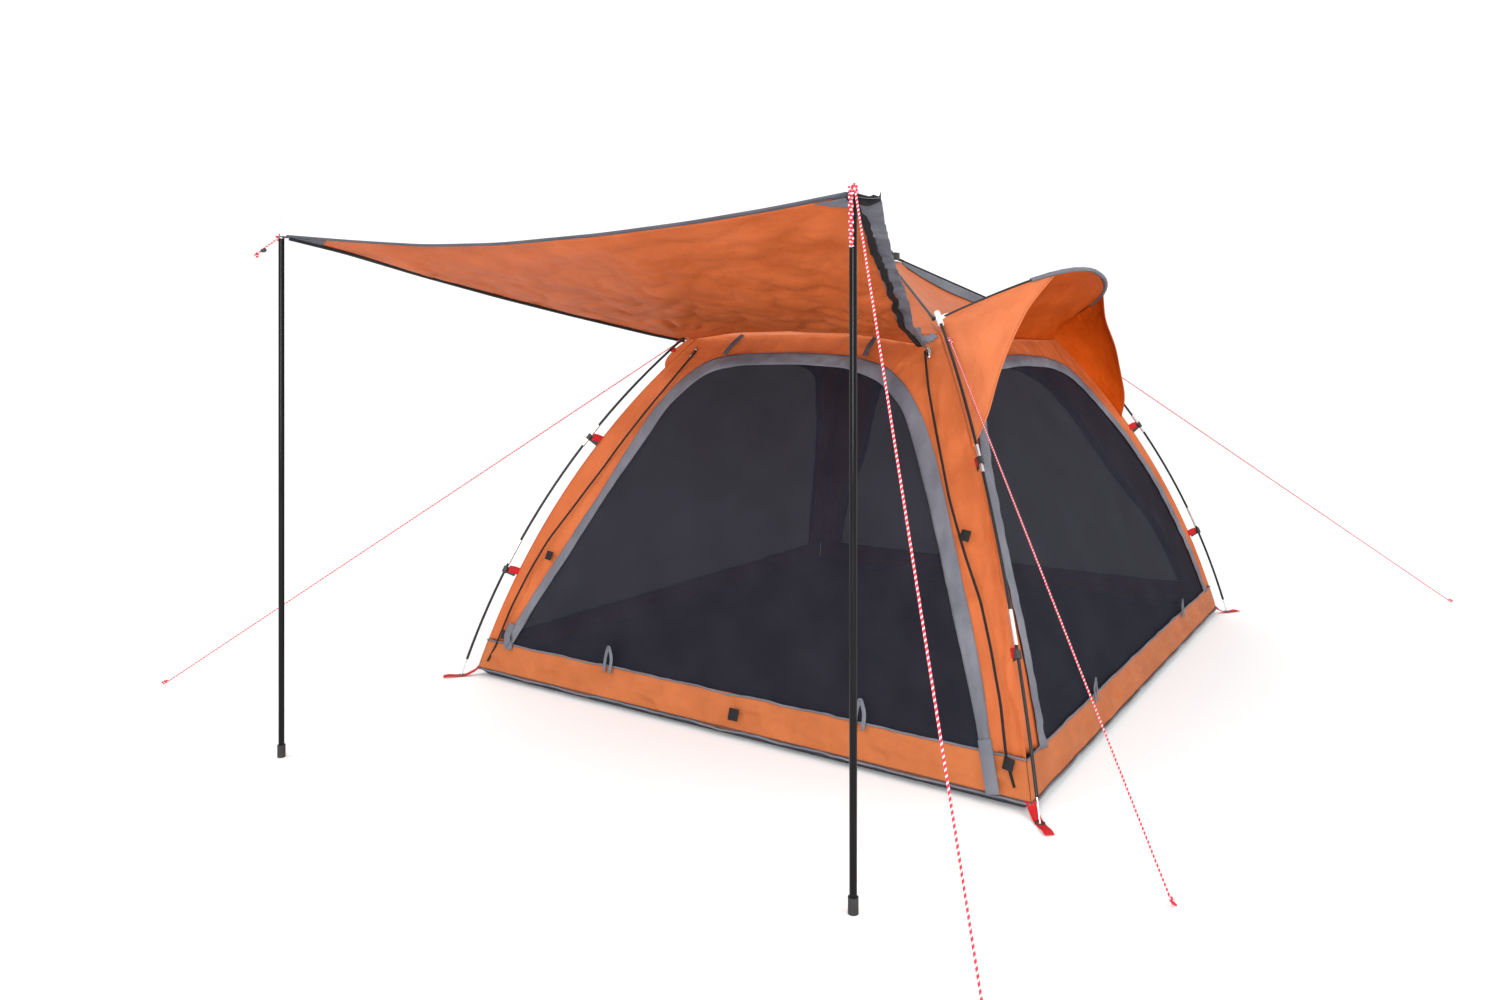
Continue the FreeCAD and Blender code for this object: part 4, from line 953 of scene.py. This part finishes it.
# corner patches of the awning
for name, reach, mat in (("left", 0.060, DARK_GREY), ("right", 0.055, GREY)):
    a = np.linspace(0, 1, 16)[:, None]
    b = np.linspace(0, 1, 16)[None, :]
    uu = a * reach if name == "left" else 1 - a * reach
    vv = 1 - b * (1 - a) * reach
    row = np.clip(uu * (N - 1), 0, N - 1)
    col = np.clip(vv * (N - 1), 0, N - 1)
    row, col = np.broadcast_arrays(row, col)
    r0, c0 = np.minimum(row.astype(int), N - 2), np.minimum(col.astype(int), N - 2)
    fr, fc = (row - r0)[..., None], (col - c0)[..., None]
    spot = ((1 - fr) * (1 - fc) * sheet_points[r0, c0] + fr * (1 - fc) * sheet_points[r0 + 1, c0]
            + (1 - fr) * fc * sheet_points[r0, c0 + 1] + fr * fc * sheet_points[r0 + 1, c0 + 1])
    under = grid(f"awning_patch_{name}", spot - (0, 0, 0.0030), spot[..., :2], mat, CLOTH_THICK)
    follows_awning(under)

# ------------------------------------------------------------------ zip sliders and their pull tabs
def plate(name, outline, start, along, across, face, lift, thick, mat):
    """A flat piece with an outline of (along, across) points, its middle lifted off its start."""
    count = len(outline)
    ends = []
    for height in (lift - thick / 2, lift + thick / 2):
        ends.append([start + along * a + across * c + face * height for a, c in outline])
    faces = [list(range(count))[::-1], [count + k for k in range(count)]]
    faces += [[k, (k + 1) % count, count + (k + 1) % count, count + k] for k in range(count)]
    return build(name, ends[0] + ends[1], faces, np.zeros((2 * count, 2)), mat, smooth=False)


SLIDER = [(0.000, 0.0050), (0.002, 0.0070), (0.011, 0.0070), (0.020, 0.0050), (0.026, 0.0042)]
POST = [(0.003, 0.0018), (0.009, 0.0018)]
TAB = [(0.0088, 0.0028), (0.0120, 0.0050), (0.0330, 0.0054), (0.0380, 0.0040)]
# the drawn zip runs this much nearer the middle than its simple solid
ZIP_SHIFT = 0.030


def closed(half):
    """A whole outline from its half on one side."""
    return half + [(a, -c) for a, c in half[::-1]]


for side, sign in (("left", -1), ("right", 1)):
    along = np.array([sign * 0.335253, -0.527912, -0.780330])
    face = unit(np.array([0.0, along[2], -along[1]]))
    across = np.cross(along, face)
    pivot = np.array([sign * (0.495029 - ZIP_SHIFT), -0.629402, 1.153506])
    start = pivot - along * 0.007 - face * 0.006
    frame_of = (start, along, across, face)
    parts = [plate("top", closed(SLIDER), *frame_of, 0.0023, 0.0014, ZINC),
             plate("low", closed(SLIDER), *frame_of, -0.0023, 0.0014, ZINC),
             plate("post", closed(POST), *frame_of, 0.0, 0.0034, ZINC)]
    arch = np.array([start + along * a + face * h for a, h in
                     ((0.0030, 0.0028), (0.0036, 0.0058), (0.0052, 0.0074), (0.0088, 0.0074),
                      (0.0104, 0.0058), (0.0110, 0.0028))])
    parts.append(sweep("bridge", smooth_line(arch, 16, 2), across, 0.0014, 0.0036, ZINC))
    body = join(f"slider_body_{side}", parts)
    moves_with(body, f"slider_{side}", f"zip_slider_{side}")
    ring = np.array([pivot + along * a + across * c for a, c in
                     ((0.0, 0.0), (0.0, 0.0046), (0.0100, 0.0046), (0.0100, -0.0046), (0.0, -0.0046),
                      (0.0, 0.0))])
    parts = [plate("tab", closed(TAB), pivot, along, across, face, 0.0, 0.0018, ZINC),
             sweep("ring", smooth_line(ring, 40, 2), face, 0.0013, 0.0013, ZINC, profile=ROUND)]
    pull = join(f"pull_tab_{side}_piece", parts)
    moves_with(pull, f"puller_{side}", f"zip_puller_{side}")

# ------------------------------------------------------------------ where the awning meets its poles
for name, corner, inner in (("left", front_edge[0], front_edge[6]),
                            ("right", front_edge[-1], front_edge[-7])):
    low, high = (np.array(c, float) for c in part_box(f"awning_pole_{name}_upper"))
    pole = (low + high) / 2
    pole[2] = high[2] + 0.0035
    path = resample([corner + (corner - inner) * -0.4, corner, pole + unit(pole - corner) * 0.006], 14)
    follows_awning(sweep(f"awning_tab_{name}", path, (0, 0, 1), 0.022, 0.004, DARK_GREY))
    turn = np.linspace(0, 2 * math.pi, 29)
    circle = pole + np.stack([0.0065 * np.cos(turn), 0.0065 * np.sin(turn), np.full(29, 0.0028)], -1)
    eyelet = sweep(f"awning_eyelet_{name}", circle, (0, 0, 1), 0.003, 0.0022, STEEL, profile=ROUND)
    follows_awning(eyelet)

# folded end of the flap's zip, and the knot of cloth at its inner end
tip = np.array([0.905, -1.830, 1.462])
end = smooth_line([tip + (-0.062, 0.0, -0.004), tip + (-0.030, 0.008, -0.014),
                   tip + (-0.002, 0.004, -0.006)], 24, 4)
follows_awning(sweep("flap_zip_end", end, (0, -1, 0.4), 0.022, 0.004, BLACK_TAPE))
end = smooth_line([tip + (-0.010, 0, -0.004), tip + (-0.004, 0, 0.012), tip + (0.002, 0, 0.022)], 10, 1)
follows_awning(sweep("flap_tip_tape", end, (0, -1, 0), 0.014, 0.002, WHITE_PLASTIC))
bunch = np.array([0.458, -0.634, 1.187])
fold = bunch + np.array([(-0.034, 0.006, 0.030), (-0.020, -0.012, 0.004), (0.004, -0.024, -0.008),
                         (0.026, -0.014, -0.002), (0.034, 0.0, 0.010)])
knobs = 1 + 0.22 * np.sin(np.arange(30) * 1.9)
follows_awning(sweep("flap_bunch", smooth_line(fold, 30, 4), (0.2, -1, 0.3), 0.026, 0.012, GREY,
                     profile=ROUND, taper=knobs))

# grey cloth that fills the gap under the arm at the right rear ridge, near the hub
along = np.linspace(0, 1, 30)[:, None, None]
over = np.linspace(0, 1, 8)[None, :, None]
arm_top = np.array([UNIT_X * 0.060, UNIT_Y * 0.060, 1.506])
arm_low = np.array([UNIT_X * 0.520, UNIT_Y * 0.520, 1.331])
ridge = arm_top + (arm_low - arm_top) * along
foot_x = 0.080 + (UNIT_X * 0.530 - 0.080) * along[..., 0]
foot_up = (EX - foot_x) / (EX - TOP)
foot_share = 0.42 + 0.50 * along[..., 0]
foot_y = foot_share * (EY + (TOP - EY) * foot_up)
foot = np.stack([foot_x, foot_y, roof_height(foot_share, foot_up, 82) + 0.007], -1)
fold = 0.003 * noise(along[..., 0] * 0.5, over[..., 0] * 0.05, 0.09, 161) * np.sin(np.pi * over[..., 0])
strip_points = ridge * (1 - over) + foot * over
strip_points = strip_points + fold[..., None] * np.array([0.5, -0.5, 0.7])
strip = grid("ridge_strip", strip_points, stacked(along[..., 0] * 0.5, over[..., 0] * 0.06), GREY,
             CLOTH_THICK)
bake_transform(strip)

# ------------------------------------------------------------------ CAD nodes that stay
STARTS = {
    "arm_": BLACK_ROD, "leg_": BLACK_ROD, "elbow_": WHITE_PLASTIC, "corner_rings": BLACK_PLASTIC,
    "hub_body": BLACK_PLASTIC, "hub_pins": STEEL, "hub_cap": GREY,
    "awning_pole_feet": RUBBER, "awning_pole_pins": STEEL,
    "awning_pole_left": BLACK_POLE, "awning_pole_right": BLACK_POLE,
}
ENDINGS = {"_ferrules_and_pin": STEEL, "_clips": BLACK_PLASTIC}


def cad_material(name):
    """The material of a CAD node that stays, or nothing where a drawn piece stands for it."""
    by_end = [mat for ending, mat in ENDINGS.items() if name.endswith(ending)]
    by_start = [mat for start, mat in STARTS.items() if name.startswith(start)]
    return (by_end + by_start + [None])[0]


for name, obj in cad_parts.items():
    found = cad_material(name)
    if found is not None and getattr(obj, "data", None) is not None:
        obj.data.materials.clear()
        obj.data.materials.append(found)

# ------------------------------------------------------------------ floor of the studio and light
bpy.ops.mesh.primitive_plane_add(size=60, location=(0, 0, -0.0005))
ground = bpy.context.object
ground.name = "studio_floor"
mat, tree, shader = nodes_of("studio floor")
feed(tree, shader, {"Base Color": (0.91, 0.91, 0.91, 1), "Roughness": 0.9})
ground.data.materials.append(mat)

bpy.context.scene.view_settings.view_transform = "Standard"
world = bpy.data.worlds.new("studio")
bpy.context.scene.world = world
world.use_nodes = True
sky = world.node_tree.nodes["Background"]
feed(world.node_tree, sky, {"Color": (1, 1, 1, 1), "Strength": 1.13})


def soft_light(name, place, aim, size, power):
    """A round area light at a place, turned to a point."""
    data = bpy.data.lights.new(name, "AREA")
    data.shape = "DISK"
    data.size = size
    data.energy = power
    lamp = bpy.data.objects.new(name, data)
    lamp.location = place
    way = Vector(aim) - Vector(place)
    lamp.rotation_euler = way.to_track_quat("-Z", "Y").to_euler()
    bpy.context.scene.collection.objects.link(lamp)


soft_light("key", (-4.0, -5.5, 5.0), (0, 0, 0.6), 2.5, 110)
soft_light("fill", (5.5, -2.5, 3.5), (0, 0, 0.6), 2.5, 110)
soft_light("front", (2.6, -6.4, 1.3), (0, -0.9, 1.0), 2.0, 190)
